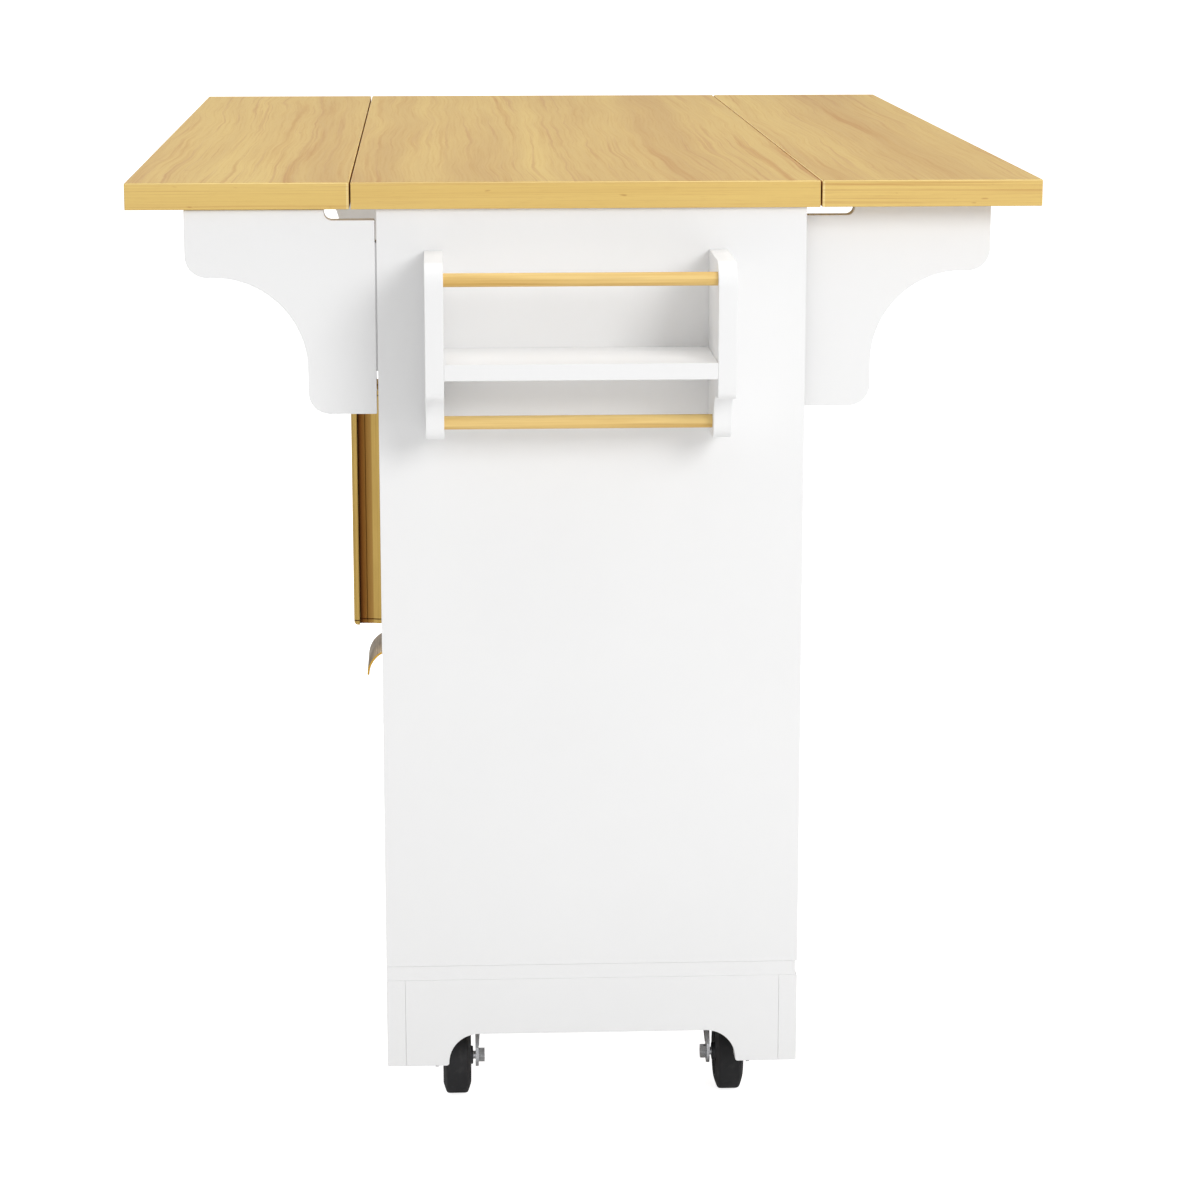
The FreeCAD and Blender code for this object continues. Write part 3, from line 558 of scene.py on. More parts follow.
@dataclass(frozen=True)
class TurnedRod:
    """Clear-lacquered round rod with straight grain along its length."""

    name: str
    pale: Colour = tint(236, 204, 134)
    warm: Colour = tint(212, 172, 98)
    line: Colour = tint(160, 112, 56)
    band: Grain = Grain(Run.WIDTH.stretched(3.0, 150.0), 3.0, 0.55)
    band_span: Span = (0.38, 0.64)
    streak: Grain = Grain(Run.WIDTH.stretched(5.0, 340.0), 2.0, 0.6, (2.7, 0.4, 1.3))
    streak_span: Span = (0.54, 0.76)
    streak_depth: float = 0.4
    fibre: Grain = Grain(Run.WIDTH.stretched(14.0, 900.0), 2.0, 0.6)
    fibre_span: Span = (0.52, 0.8)
    fibre_depth: float = 0.3
    rough: float = 0.38
    fibre_rough: float = 0.12
    relief: float = 0.15
    relief_high: float = 0.2 * MM
    specular: float = 0.15

    def make(self) -> bpy.types.Material:
        """Build the material.

        Returns:
            The material.
        """
        shade = Shade(self.name)
        place = shade.place()
        streaks = shade.grain(place, self.streak).rise(*self.streak_span)
        fibre = shade.grain(place, self.fibre)
        colour = shade.fade(shade.grain(place, self.band), self.band_span, self.pale, self.warm)
        colour = shade.blend(streaks * self.streak_depth, colour, self.line)
        colour = shade.blend(fibre.rise(*self.fibre_span) * self.fibre_depth, colour, self.warm)
        return shade.surface(
            Base_Color=colour,
            Roughness=self.rough + fibre * self.fibre_rough,
            Normal=shade.bump(fibre, self.relief, self.relief_high),
            Specular_IOR_Level=self.specular,
        )


@dataclass(frozen=True)
class WhitePaint:
    """Satin white sheet with a faint spray texture."""

    name: str
    light: Colour = tint(240, 240, 240)
    dark: Colour = tint(236, 236, 236)
    drift: Grain = Grain.even(2.4, 3.0, 0.5)
    drift_span: Span = (0.3, 0.7)
    peel: Grain = Grain.even(520.0, 2.0, 0.55)
    smear: Grain = Grain((26.0, 26.0, 9.0), 3.0, 0.5)
    rough: float = 0.3
    smear_rough: float = 0.14
    peel_rough: float = 0.04
    relief: float = 0.08
    relief_high: float = 0.12 * MM
    specular: float = 0.4

    def make(self) -> bpy.types.Material:
        """Build the material.

        Returns:
            The material.
        """
        shade = Shade(self.name)
        place = shade.place()
        drift = shade.grain(place, self.drift)
        peel = shade.grain(place, self.peel)
        smear = shade.grain(place, self.smear)
        return shade.surface(
            Base_Color=shade.fade(drift, self.drift_span, self.light, self.dark),
            Roughness=self.rough + smear * self.smear_rough + peel * self.peel_rough,
            Normal=shade.bump(peel, self.relief, self.relief_high),
            Specular_IOR_Level=self.specular,
        )


@dataclass(frozen=True)
class SawnTimber:
    """Plain sawn softwood, as used for hidden beams."""

    name: str
    pale: Colour = tint(226, 204, 164)
    warm: Colour = tint(199, 167, 116)
    rings: Grain = Grain(Run.WIDTH.stretched(2.0, 60.0), 4.0, 0.6, twist=0.5)
    ring_span: Span = (0.35, 0.68)
    ring_high: float = 0.5
    kerf: Grain = Grain((90.0, 900.0, 90.0), 1.0, 0.5)
    rough: float = 0.68
    kerf_rough: float = 0.16
    relief: float = 0.3
    relief_high: float = 0.6 * MM

    def make(self) -> bpy.types.Material:
        """Build the material.

        Returns:
            The material.
        """
        shade = Shade(self.name)
        place = shade.place()
        rings = shade.grain(place, self.rings)
        kerf = shade.grain(place, self.kerf)
        return shade.surface(
            Base_Color=shade.fade(rings, self.ring_span, self.pale, self.warm),
            Roughness=self.rough + kerf * self.kerf_rough,
            Normal=shade.bump(kerf + rings * self.ring_high, self.relief, self.relief_high),
        )


@dataclass(frozen=True)
class BrushedMetal:
    """Metal with fine brush marks along one direction."""

    name: str
    bright: Colour
    dull: Colour
    run: Run
    rough: float
    stroke: Span = (9.0, 1400.0)
    stroke_detail: float = 2.0
    stroke_fine: float = 0.6
    cloud: Grain = Grain.even(38.0, 3.0, 0.5)
    brush_share: float = 0.6
    tone_span: Span = (0.34, 0.68)
    brush_rough: float = 0.12
    cloud_rough: float = 0.06
    relief: float = 0.1
    relief_high: float = 0.08 * MM

    def make(self) -> bpy.types.Material:
        """Build the material.

        Returns:
            The material.
        """
        shade = Shade(self.name)
        place = shade.place()
        marks = Grain(self.run.stretched(*self.stroke), self.stroke_detail, self.stroke_fine)
        brush = shade.grain(place, marks)
        cloud = shade.grain(place, self.cloud)
        tone = brush * self.brush_share + cloud * (1 - self.brush_share)
        return shade.surface(
            Base_Color=shade.fade(tone, self.tone_span, self.bright, self.dull),
            Metallic=1.0,
            Roughness=self.rough + brush * self.brush_rough + cloud * self.cloud_rough,
            Normal=shade.bump(brush, self.relief, self.relief_high),
        )


@dataclass(frozen=True)
class AgedCup:
    """Aged brass brushed along the cup, bright where the sheet's cut edge shows."""

    name: str
    light: Colour = tint(158, 139, 110)
    dark: Colour = tint(86, 69, 50)
    cut: Colour = tint(226, 178, 76)
    cut_end: float = 0.7
    cut_low: float = 0.8
    brush: Grain = Grain(Run.LENGTH.stretched(14.0, 1300.0), 3.0, 0.65)
    cloud: Grain = Grain.even(60.0, 3.0, 0.55)
    brush_share: float = 0.7
    tone_span: Span = (0.36, 0.66)
    rough: float = 0.34
    brush_rough: float = 0.2
    cut_polish: float = 0.12
    relief: float = 0.2
    relief_high: float = 0.1 * MM

    def make(self) -> bpy.types.Material:
        """Build the material.

        Returns:
            The material.
        """
        shade = Shade(self.name)
        place = shade.place()
        across_x, _, across_z = shade.split(shade.facing())
        worn = (abs(across_x) > self.cut_end).most(across_z * -1.0 > self.cut_low)
        brush = shade.grain(place, self.brush)
        tone = brush * self.brush_share + shade.grain(place, self.cloud) * (1 - self.brush_share)
        colour = shade.fade(tone, self.tone_span, self.light, self.dark)
        return shade.surface(
            Base_Color=shade.blend(worn, colour, self.cut),
            Metallic=1.0,
            Roughness=self.rough + brush * self.brush_rough - worn * self.cut_polish,
            Normal=shade.bump(brush, self.relief, self.relief_high),
        )


@dataclass(frozen=True)
class PullGold:
    """Brushed gold of one long pull, with painted shade down its recessed neck, darkest under the
    lip.
    """

    name: str
    centre: Triple
    half_length: float
    cap: float
    groove: float
    bright: Colour = tint(208, 176, 102)
    dull: Colour = tint(184, 150, 82)
    # Painted shade: these four colours darken the recessed neck, lightest at the foot and darkest
    # under the lip.
    foot: Colour = tint(176, 138, 76)
    neck_shade_light: Colour = tint(144, 103, 48)
    neck_shade_mid: Colour = tint(124, 78, 33)
    shade_and_groove_dark: Colour = tint(64, 31, 13)
    neck_shade_stops: Sequence[float] = (0.05, 0.5, 0.76, 0.95)
    neck_half: float = 4.7 * MM
    neck_start: float = 10.0 * MM
    neck_end: float = 26.0 * MM
    fade: float = 0.5 * MM
    brush: Grain = Grain(Run.HEIGHT.stretched(7.0, 1500.0), 2.0, 0.6)
    cloud: Grain = Grain((30.0, 30.0, 12.0), 3.0, 0.5)
    brush_share: float = 0.55
    tone_span: Span = (0.34, 0.68)
    rough: float = 0.24
    brush_rough: float = 0.14
    cloud_rough: float = 0.05
    relief: float = 0.12
    relief_high: float = 0.08 * MM

    def make(self) -> bpy.types.Material:
        """Build the material.

        Returns:
            The material.
        """
        shade = Shade(self.name)
        place = shade.place()
        x, y, z = shade.split(shade.centred(self.centre))
        out, rise = y * -1.0, abs(z)
        brush = shade.grain(place, self.brush)
        cloud = shade.grain(place, self.cloud)
        tone = brush * self.brush_share + cloud * (1 - self.brush_share)
        # Painted shade down the recessed neck, darker nearer the lip that shades it.
        inner = 1 - abs(x).rise(self.neck_half, self.neck_half + self.fade)
        neck = inner * (out > self.neck_start) * (1 - (out > self.neck_end + self.fade))
        depth = (out - self.neck_start) / (self.neck_end - self.neck_start)
        neck_shade_tones = (self.foot, self.neck_shade_light, self.neck_shade_mid, self.shade_and_groove_dark)
        neck_shade = shade.ramp(depth, list(zip(self.neck_shade_stops, neck_shade_tones)))
        # The groove at each cap takes the same darkest colour.
        cap_line = self.half_length - self.cap
        seam = (rise > cap_line - self.groove) * (1 - (rise > cap_line))
        colour = shade.fade(tone, self.tone_span, self.bright, self.dull)
        colour = shade.blend(neck, colour, neck_shade)
        return shade.surface(
            Base_Color=shade.blend(seam, colour, self.shade_and_groove_dark),
            Metallic=1.0,
            Roughness=self.rough + brush * self.brush_rough + cloud * self.cloud_rough,
            Normal=shade.bump(brush, self.relief, self.relief_high),
        )


@dataclass(frozen=True)
class PaintedHoleShade:
    """Painted shade of a drilled hole: the dark colour stands for the shade inside it."""

    name: str
    light: Colour = tint(94, 82, 66)
    dark: Colour = tint(42, 36, 30)
    chips: Grain = Grain.even(700.0, 2.0, 0.6)
    chip_span: Span = (0.35, 0.6)
    rough: float = 0.8
    chip_rough: float = 0.1
    relief: float = 0.4
    relief_high: float = 0.4 * MM

    def make(self) -> bpy.types.Material:
        """Build the material.

        Returns:
            The material.
        """
        shade = Shade(self.name)
        chips = shade.grain(shade.place(), self.chips)
        return shade.surface(
            Base_Color=shade.fade(chips, self.chip_span, self.light, self.dark),
            Roughness=self.rough + chips * self.chip_rough,
            Normal=shade.bump(chips, self.relief, self.relief_high),
        )


@dataclass(frozen=True)
class WheelRubber:
    """Black tread with moulding lines round one axle, and a glossier hub."""

    name: str
    axle: Triple
    tread: Colour = tint(34, 34, 36)
    hub: Colour = tint(58, 58, 60)
    hub_radius: float = 24.5 * MM
    hub_fade: float = 0.6 * MM
    dust_grey: Colour = tint(112, 110, 106)
    dust: Grain = Grain.even(140.0, 3.0, 0.55)
    dust_span: Span = (0.5, 0.85)
    dust_depth: float = 0.1
    fine: Grain = Grain.even(900.0, 2.0, 0.5)
    line_turns: float = 3600.0
    line_span: Span = (0.4, 1.0)
    line_radius: Span = (33.0 * MM, 35.0 * MM)
    rough: float = 0.58
    hub_polish: float = 0.18
    fine_rough: float = 0.12
    fine_high: float = 0.5
    line_high: float = 0.6
    relief: float = 0.25
    relief_high: float = 0.2 * MM
    specular: float = 0.35

    def make(self) -> bpy.types.Material:
        """Build the material.

        Returns:
            The material.
        """
        shade = Shade(self.name)
        centred = shade.centred(self.axle)
        x, y, z = shade.split(centred)
        radius = (x * x + z * z) ** 0.5
        inner = 1 - radius.rise(self.hub_radius - self.hub_fade, self.hub_radius + self.hub_fade)
        dust = shade.grain(centred, self.dust).rise(*self.dust_span)
        fine = shade.grain(centred, self.fine)
        lines = (y * self.line_turns).sine().rise(*self.line_span) * radius.rise(*self.line_radius)
        colour = shade.blend(inner, self.tread, self.hub)
        height = fine * self.fine_high + lines * self.line_high
        return shade.surface(
            Base_Color=shade.blend(dust * self.dust_depth, colour, self.dust_grey),
            Roughness=self.rough - inner * self.hub_polish + fine * self.fine_rough,
            Normal=shade.bump(height, self.relief, self.relief_high),
            Specular_IOR_Level=self.specular,
        )


@dataclass(frozen=True)
class StudioFloor:
    """Pale seamless floor that looks even far from the lights, yet throws little light back up."""

    name: str
    glow: float
    light: Colour = tint(240, 240, 240)
    dark: Colour = tint(236, 236, 236)
    drift: Grain = Grain.even(0.7, 2.0, 0.5)
    drift_span: Span = (0.3, 0.7)
    rough: float = 0.7
    drift_rough: float = 0.1
    specular: float = 0.1

    def make(self) -> bpy.types.Material:
        """Build the material.

        Returns:
            The material.
        """
        shade = Shade(self.name)
        drift = shade.grain(shade.place(), self.drift)
        seen = shade.node("ShaderNodeLightPath", out="Is Camera Ray")
        return shade.surface(
            Base_Color=shade.fade(drift, self.drift_span, self.light, self.dark),
            Roughness=self.rough + drift * self.drift_rough,
            Specular_IOR_Level=self.specular,
            Emission_Color=shade.blend(seen, BLACK, WHITE),
            Emission_Strength=self.glow,
        )


class Pattern(Bench):
    """Geometry Nodes tree that repeats a small shape, with its sizes as named inputs."""

    def __init__(self, name: str, sizes: dict[str, str]) -> None:
        """Start a tree.

        Args:
            name: Name of the tree.
            sizes: Socket type of each named input, less its common prefix.
        """
        super().__init__(bpy.data.node_groups.new(name, "GeometryNodeTree"))
        faces = self.tree.interface
        faces.new_socket("Geometry", in_out="OUTPUT", socket_type="NodeSocketGeometry")
        kinds = {"Geometry": "Geometry", **sizes, "Finish": "Material"}
        self.keys: dict[str, str] = {}
        for key, kind in kinds.items():
            socket = faces.new_socket(key, in_out="INPUT", socket_type=f"NodeSocket{kind}")
            self.keys[key] = socket.identifier
        self.inlet = self.tree.nodes.new("NodeGroupInput")

    def size(self, name: str) -> Wire:
        """Named input of the tree."""
        return Wire(self, self.inlet.outputs[name])

    def close(self, geometry: Wire) -> None:
        """End the tree with real geometry in the finish that is asked for.

        Args:
            geometry: Instances to make real.
        """
        real = self.node("GeometryNodeRealizeInstances", inputs={"Geometry": geometry})
        coated = self.node("GeometryNodeSetMaterial", inputs={
            "Geometry": real,
            "Material": self.size("Finish"),
        })
        outlet = self.tree.nodes.new("NodeGroupOutput")
        self.tree.links.new(coated.socket, outlet.inputs["Geometry"])

    def make(self, name: str, seed: bpy.types.Mesh, values: dict[str, object]) -> bpy.types.Object:
        """Run the tree once and keep its result as a plain mesh.

        Args:
            name: Name of the new piece.
            seed: Mesh that enters the tree.
            values: Value of each named input.

        Returns:
            The piece.
        """
        piece = add_piece(name, seed)
        modifier = piece.modifiers.new("pattern", "NODES")
        modifier.node_group = self.tree
        for key, value in values.items():
            modifier[self.keys[key]] = value
        graph = bpy.context.evaluated_depsgraph_get()
        plain = bpy.data.meshes.new_from_object(piece.evaluated_get(graph), depsgraph=graph)
        piece.modifiers.remove(modifier)
        piece.data = plain
        plain.name = name
        return piece


class SetOnPoints(Pattern):
    """One shape on every point, turned to the direction that the point faces."""

    def __init__(self) -> None:
        """Build the tree."""
        super().__init__("set_on_points", {"Shape": "Object", "Size": "Vector"})
        kind = {"data_type": "FLOAT_VECTOR"}
        facing = self.node("GeometryNodeInputNamedAttribute", kind, {"Name": "facing"})
        turned = self.node("FunctionNodeAlignRotationToVector", {"axis": "Z"}, {"Vector": facing})
        chosen = {"Object": self.size("Shape")}
        shape = self.node("GeometryNodeObjectInfo", inputs=chosen, out="Geometry")
        self.close(self.node("GeometryNodeInstanceOnPoints", inputs={
            "Points": self.size("Geometry"),
            "Instance": shape,
            "Rotation": turned,
            "Scale": self.size("Size"),
        }))

    def stamp(
        self, name: str, spots: Sequence[Spot], shape: bpy.types.Object, size: Triple,
        material: bpy.types.Material,
    ) -> bpy.types.Object:
        """Set a shape on some spots.

        Args:
            name: Name of the new piece.
            spots: Place and facing of each copy.
            shape: Shape to copy, standing along Z.
            size: Scale of the copies.
            material: Finish of the copies.

        Returns:
            The piece.
        """
        seed = bpy.data.meshes.new(name)
        seed.from_pydata([place for place, _ in spots], [], [])
        facing = seed.attributes.new("facing", "FLOAT_VECTOR", "POINT")
        for item, (_, direction) in zip(facing.data, spots):
            item.vector = direction
        return self.make(name, seed, {"Shape": shape, "Size": size, "Finish": material})


class HoleColumn(Pattern):
    """Upright row of drilled holes on a wall that faces along X."""

    SIDES: int = 20

    def __init__(self) -> None:
        """Build the tree."""
        lengths = dict.fromkeys(("Pitch", "Bore", "Depth"), "Float")
        sizes = {"Count": "Int", **lengths, "Start": "Vector"}
        super().__init__("hole_column", sizes)
        line = self.node("GeometryNodeMeshLine", inputs={
            "Count": self.size("Count"),
            "Start Location": self.size("Start"),
            "Offset": self.joined(0.0, 0.0, self.size("Pitch")),
        })
        hole_shade = self.node("GeometryNodeMeshCylinder", inputs={
            "Vertices": self.SIDES,
            "Radius": self.size("Bore"),
            "Depth": self.size("Depth"),
        })
        self.close(self.node("GeometryNodeInstanceOnPoints", inputs={
            "Points": line,
            "Instance": hole_shade,
            "Rotation": (0.0, math.pi / 2, 0.0),
        }))


class SpokeRing(Pattern):
    """Ring of flat spokes round an axle that lies along Y."""

    def __init__(self) -> None:
        """Build the tree."""
        lengths = dict.fromkeys(("Reach", "Length", "Width", "Depth"), "Float")
        sizes = {"Spokes": "Int", **lengths, "Axle": "Vector"}
        super().__init__("spoke_ring", sizes)
        circle = self.node("GeometryNodeMeshCircle", inputs={
            "Vertices": self.size("Spokes"),
            "Radius": self.size("Reach"),
        })
        bar = self.node("GeometryNodeMeshCube", inputs={
            "Size": self.joined(self.size("Length"), self.size("Width"), self.size("Depth")),
        })
        outward = self.node("GeometryNodeInputPosition")
        settings = {"axis": "X", "pivot_axis": "Z"}
        turned = self.node("FunctionNodeAlignRotationToVector", settings, {"Vector": outward})
        ring = self.node("GeometryNodeInstanceOnPoints", inputs={
            "Points": circle,
            "Instance": bar,
            "Rotation": turned,
        })
        self.close(self.node("GeometryNodeTransform", inputs={
            "Geometry": ring,
            "Translation": self.size("Axle"),
            "Rotation": (math.pi / 2, 0.0, 0.0),
        }))


def middle_of(node: str) -> Triple:
    """Middle of a CAD node's box."""
    low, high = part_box(node)
    return tuple((a + b) / 2 for a, b in zip(low, high))


def add_piece(name: str, mesh: bpy.types.Mesh) -> bpy.types.Object:
    """Put a mesh into the scene as a new piece.

    Args:
        name: Name of the piece.
        mesh: Its mesh.

    Returns:
        The piece.
    """
    piece = bpy.data.objects.new(name, mesh)
    bpy.context.scene.collection.objects.link(piece)
    return piece


def lofted(
    name: str, rings: Sequence[Sequence[Triple]], looped: bool, sharp: float
) -> bpy.types.Mesh:
    """Skin over a row of rings with equal counts of points.

    Args:
        name: Name of the mesh.
        rings: Closed rings in order.
        looped: Whether the last ring joins the first, else both ends are capped.
        sharp: Angle between faces above which their edge is sharp, in radians.

    Returns:
        The mesh.
    """
    form = bmesh.new()
    rows = [[form.verts.new(point) for point in ring] for ring in rings]
    following = rows[1:] + rows[:1] if looped else rows[1:]
    for lower, upper in zip(rows, following):
        for index, corner in enumerate(lower):
            after = (index + 1) % len(lower)
            form.faces.new((corner, lower[after], upper[after], upper[index])).smooth = True
    if not looped:
        form.faces.new(list(reversed(rows[0])))
        form.faces.new(rows[-1])
    bmesh.ops.recalc_face_normals(form, faces=form.faces)
    mesh = bpy.data.meshes.new(name)
    form.to_mesh(mesh)
    form.free()
    mesh.set_sharp_from_angle(angle=sharp)
    return mesh


def drawn_in(points: Sequence[Span], depth: float) -> list[Span]:
    """Outline drawn in all round.

    Args:
        points: Outline, turning left.
        depth: Distance to draw in.

    Returns:
        The smaller outline.
    """
    drawn = []
    for index, (across, out) in enumerate(points):
        before, after = points[index - 1], points[(index + 1) % len(points)]
        along = Vector((after[0] - before[0], after[1] - before[1])).normalized()
        drawn.append((across - along.y * depth, out + along.x * depth))
    return drawn


def settle(piece: bpy.types.Object, body: str, replaced: Iterable[str] = ()) -> None:
    """Let a new piece ride on a body.

    Args:
        piece: The new piece.
        body: Body it moves with.
        replaced: CAD nodes it stands for.
    """
    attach(piece, body)
    if replaced:
        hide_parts(*replaced)
    LOG.info("%s rides on %s", piece.name, body)


@dataclass
class ScrewHead:
    """Round screw head with a cross recess, standing on the XY plane, of unit radius."""

    sides: int = 24
    height: float = 0.5
    slot_long: float = 0.52
    slot_wide: float = 0.13
    slot_deep: float = 0.34
    slot_taper: float = 0.8
    rounding: Sequence[Span] = ((1.0, 0.0), (0.97, 0.5), (0.86, 0.82), (0.68, 1.0))

    def build(self) -> bpy.types.Object:
        """Make the shape, not placed in the scene.

        Returns:
            The shape's object.
        """
        form = bmesh.new()
        rings = [self.ring(form, radius, self.height * share) for radius, share in self.rounding]
        for lower, upper in zip(rings, rings[1:]):
            for index in range(self.sides):
                after = (index + 1) % self.sides
                quad = (lower[index], lower[after], upper[after], upper[index])
                form.faces.new(quad).smooth = True
        mouth = self.cross(form, 1.0, self.height)
        floor = self.cross(form, self.slot_taper, self.height - self.slot_deep)
        pairs = [(ring[index - 1], ring[index])
                 for ring in (rings[-1], mouth) for index in range(len(ring))]
        edges = [form.edges.get(pair) or form.edges.new(pair) for pair in pairs]
        bmesh.ops.triangle_fill(form, use_beauty=True, edges=edges)
        for index, corner in enumerate(mouth):
            after = (index + 1) % len(mouth)
            form.faces.new((corner, mouth[after], floor[after], floor[index]))
        form.faces.new(floor)
        form.faces.new(list(reversed(rings[0])))
        bmesh.ops.recalc_face_normals(form, faces=form.faces)
        mesh = bpy.data.meshes.new("screw_head")
        form.to_mesh(mesh)
        form.free()
        return bpy.data.objects.new("screw_head", mesh)

    def ring(self, form: bmesh.types.BMesh, radius: float, level: float) -> Corners:
        """Circle of vertices at a level.

        Args:
            form: Form that takes them.
            radius: Radius of the circle.
            level: Its height.

        Returns:
            The vertices in order.
        """
        turns = [2 * math.pi * index / self.sides for index in range(self.sides)]
        return [form.verts.new((radius * math.cos(turn), radius * math.sin(turn), level))
                for turn in turns]

    def cross(self, form: bmesh.types.BMesh, share: float, level: float) -> Corners:
        """Outline of the recess at a level.

        Args:
            form: Form that takes its vertices.
            share: Share of the recess's full size.
            level: Height of the outline.

        Returns:
            The vertices in order.
        """
        far, near = self.slot_long * share, self.slot_wide * share
        arm = [(far, -near), (far, near), (near, near)]
        points = []
        for _ in range(4):
            points += arm
            arm = [(-y, x) for x, y in arm]
        return [form.verts.new((x, y, level)) for x, y in points]


@dataclass
class LongPull:
    """Extruded pull with capped ends, in place of its plain solid."""

    side: str
    foot_half: float = 6.5 * MM
    foot_deep: float = 10.0 * MM
    foot_slope: float = 3.0 * MM
    neck_half: float = 4.0 * MM
    neck_step: float = 0.6 * MM
    neck_break: float = 18.0 * MM
    neck_deep: float = 26.0 * MM
    lip_half: float = 12.0 * MM
    lip_deep: float = 32.0 * MM
    lip_round: float = 3.0 * MM
    ease: float = 0.7 * MM
    cap: float = 4.0 * MM
    groove: float = 1.0 * MM
    groove_inset: float = 0.5 * MM
    round_steps: int = 6
    cap_shares: Sequence[float] = (0.0, 0.08, 0.2, 0.4, 0.65, 1.0)
    crease: float = math.radians(28)

    def profile(self) -> list[Span]:
        """Section as points across and out from the door, once round.

        Returns:
            The points.
        """
        ease = self.ease
        wide_neck = self.neck_half + self.neck_step
        right = [
            (self.foot_half, 0.0),
            (self.foot_half, self.foot_deep - self.foot_slope),
            (wide_neck, self.foot_deep + self.foot_slope),
            (wide_neck, self.neck_break),
            (self.neck_half, self.neck_break + self.neck_step),
            (self.neck_half, self.neck_deep - ease),
            (self.neck_half + ease, self.neck_deep),
            (self.lip_half - ease, self.neck_deep),
            (self.lip_half, self.neck_deep + ease),
        ]
        across, out = self.lip_half - self.lip_round, self.lip_deep - self.lip_round
        for step in range(self.round_steps + 1):
            turn = math.pi / 2 * step / self.round_steps
            reach, rise = self.lip_round * math.cos(turn), self.lip_round * math.sin(turn)
            right.append((across + reach, out + rise))
        return right + [(-across, out) for across, out in reversed(right)]

    def sections(self, low: float, high: float) -> list[Triple]:
        """Level, inset and lip cut of each section from one end to the other.

        Args:
            low: Height of the lower end.
            high: Height of the upper end.

        Returns:
            The sections in order.
        """
        cap, edge = self.cap, self.cap + self.groove
        rounded = [(share * cap, cap - math.sqrt(cap ** 2 - (cap * (1 - share)) ** 2))
                   for share in self.cap_shares]
        lower = [(low + rise, 0.0, drop) for rise, drop in rounded]
        lower += [(low + cap, self.groove_inset, 0.0), (low + edge, self.groove_inset, 0.0),
                  (low + edge, 0.0, 0.0)]
        upper = [(low + high - level, inset, drop) for level, inset, drop in reversed(lower)]
        return lower + upper

    def build(self) -> None:
        """Loft the pull and let it ride on its door."""
        node = f"door_{self.side}_pull"
        low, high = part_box(node)
        axis_x, face_y = (low[0] + high[0]) / 2, high[1]
        rings = []
        for level, inset, drop in self.sections(low[2], high[2]):
            deepest = self.lip_deep - drop
            rings.append([(axis_x + across, face_y - min(max(out, 0.0), deepest), level)
                          for across, out in drawn_in(self.profile(), inset)])
        mesh = lofted(f"long_pull_{self.side}", rings, False, self.crease)
        centre = (axis_x, face_y, (low[2] + high[2]) / 2)
        half_length = (high[2] - low[2]) / 2
        finish = PullGold(f"pull_gold_{self.side}", centre, half_length, self.cap, self.groove)
        mesh.materials.append(finish.make())
        settle(add_piece(mesh.name, mesh), f"{self.side}_door", (node,))


@dataclass
class ShapedBoard:
    """Painted board sawn to an outline with round corners, its edges eased."""

    name: str
    corners: Sequence[Triple]
    through: Run
    faces: Span
    paint: bpy.types.Material
    ease: float = 0.7 * MM
    arc_steps: int = 12
    ease_steps: int = 2
    crease: float = math.radians(20)

    def outline(self) -> list[Span]:
        """Corners across and up, each rounded to its own radius.

        Returns:
            The points, turning left.
        """
        points = []
        for index, (across, up, radius) in enumerate(self.corners):
            corner = Vector((across, up))
            before = Vector(self.corners[index - 1][:2])
            after = Vector(self.corners[(index + 1) % len(self.corners)][:2])
            back, ahead = (before - corner).normalized(), (after - corner).normalized()
            middle = corner + (back + ahead) * radius
            steps = self.arc_steps if radius else 0
            for step in range(steps + 1):
                turn = math.pi / 2 * step / max(steps, 1)
                spot = middle - (ahead * math.cos(turn) + back * math.sin(turn)) * radius
                points.append((spot.x, spot.y))
        return points

    def build(self, body: str, replaced: Iterable[str] = ()) -> None:
        """Saw the board and let it ride on a body.

        Args:
            body: Body it moves with.
            replaced: CAD nodes it stands for.
        """
        outline = self.outline()
        low, high = self.faces
        turns = [math.pi / 2 * step / self.ease_steps for step in range(self.ease_steps + 1)]
        eased = [(self.ease * (1 - math.cos(turn)), self.ease * (1 - math.sin(turn)))
                 for turn in turns]
        layers = [(low + depth, inset) for depth, inset in eased]
        layers += [(high - depth, inset) for depth, inset in reversed(eased)]
        rings = [[(across, depth, up) if self.through is Run.WIDTH else (depth, across, up)
                  for across, up in drawn_in(outline, inset)] for depth, inset in layers]
        mesh = lofted(self.name, rings, False, self.crease)
        mesh.materials.append(self.paint)
        settle(add_piece(mesh.name, mesh), body, replaced)


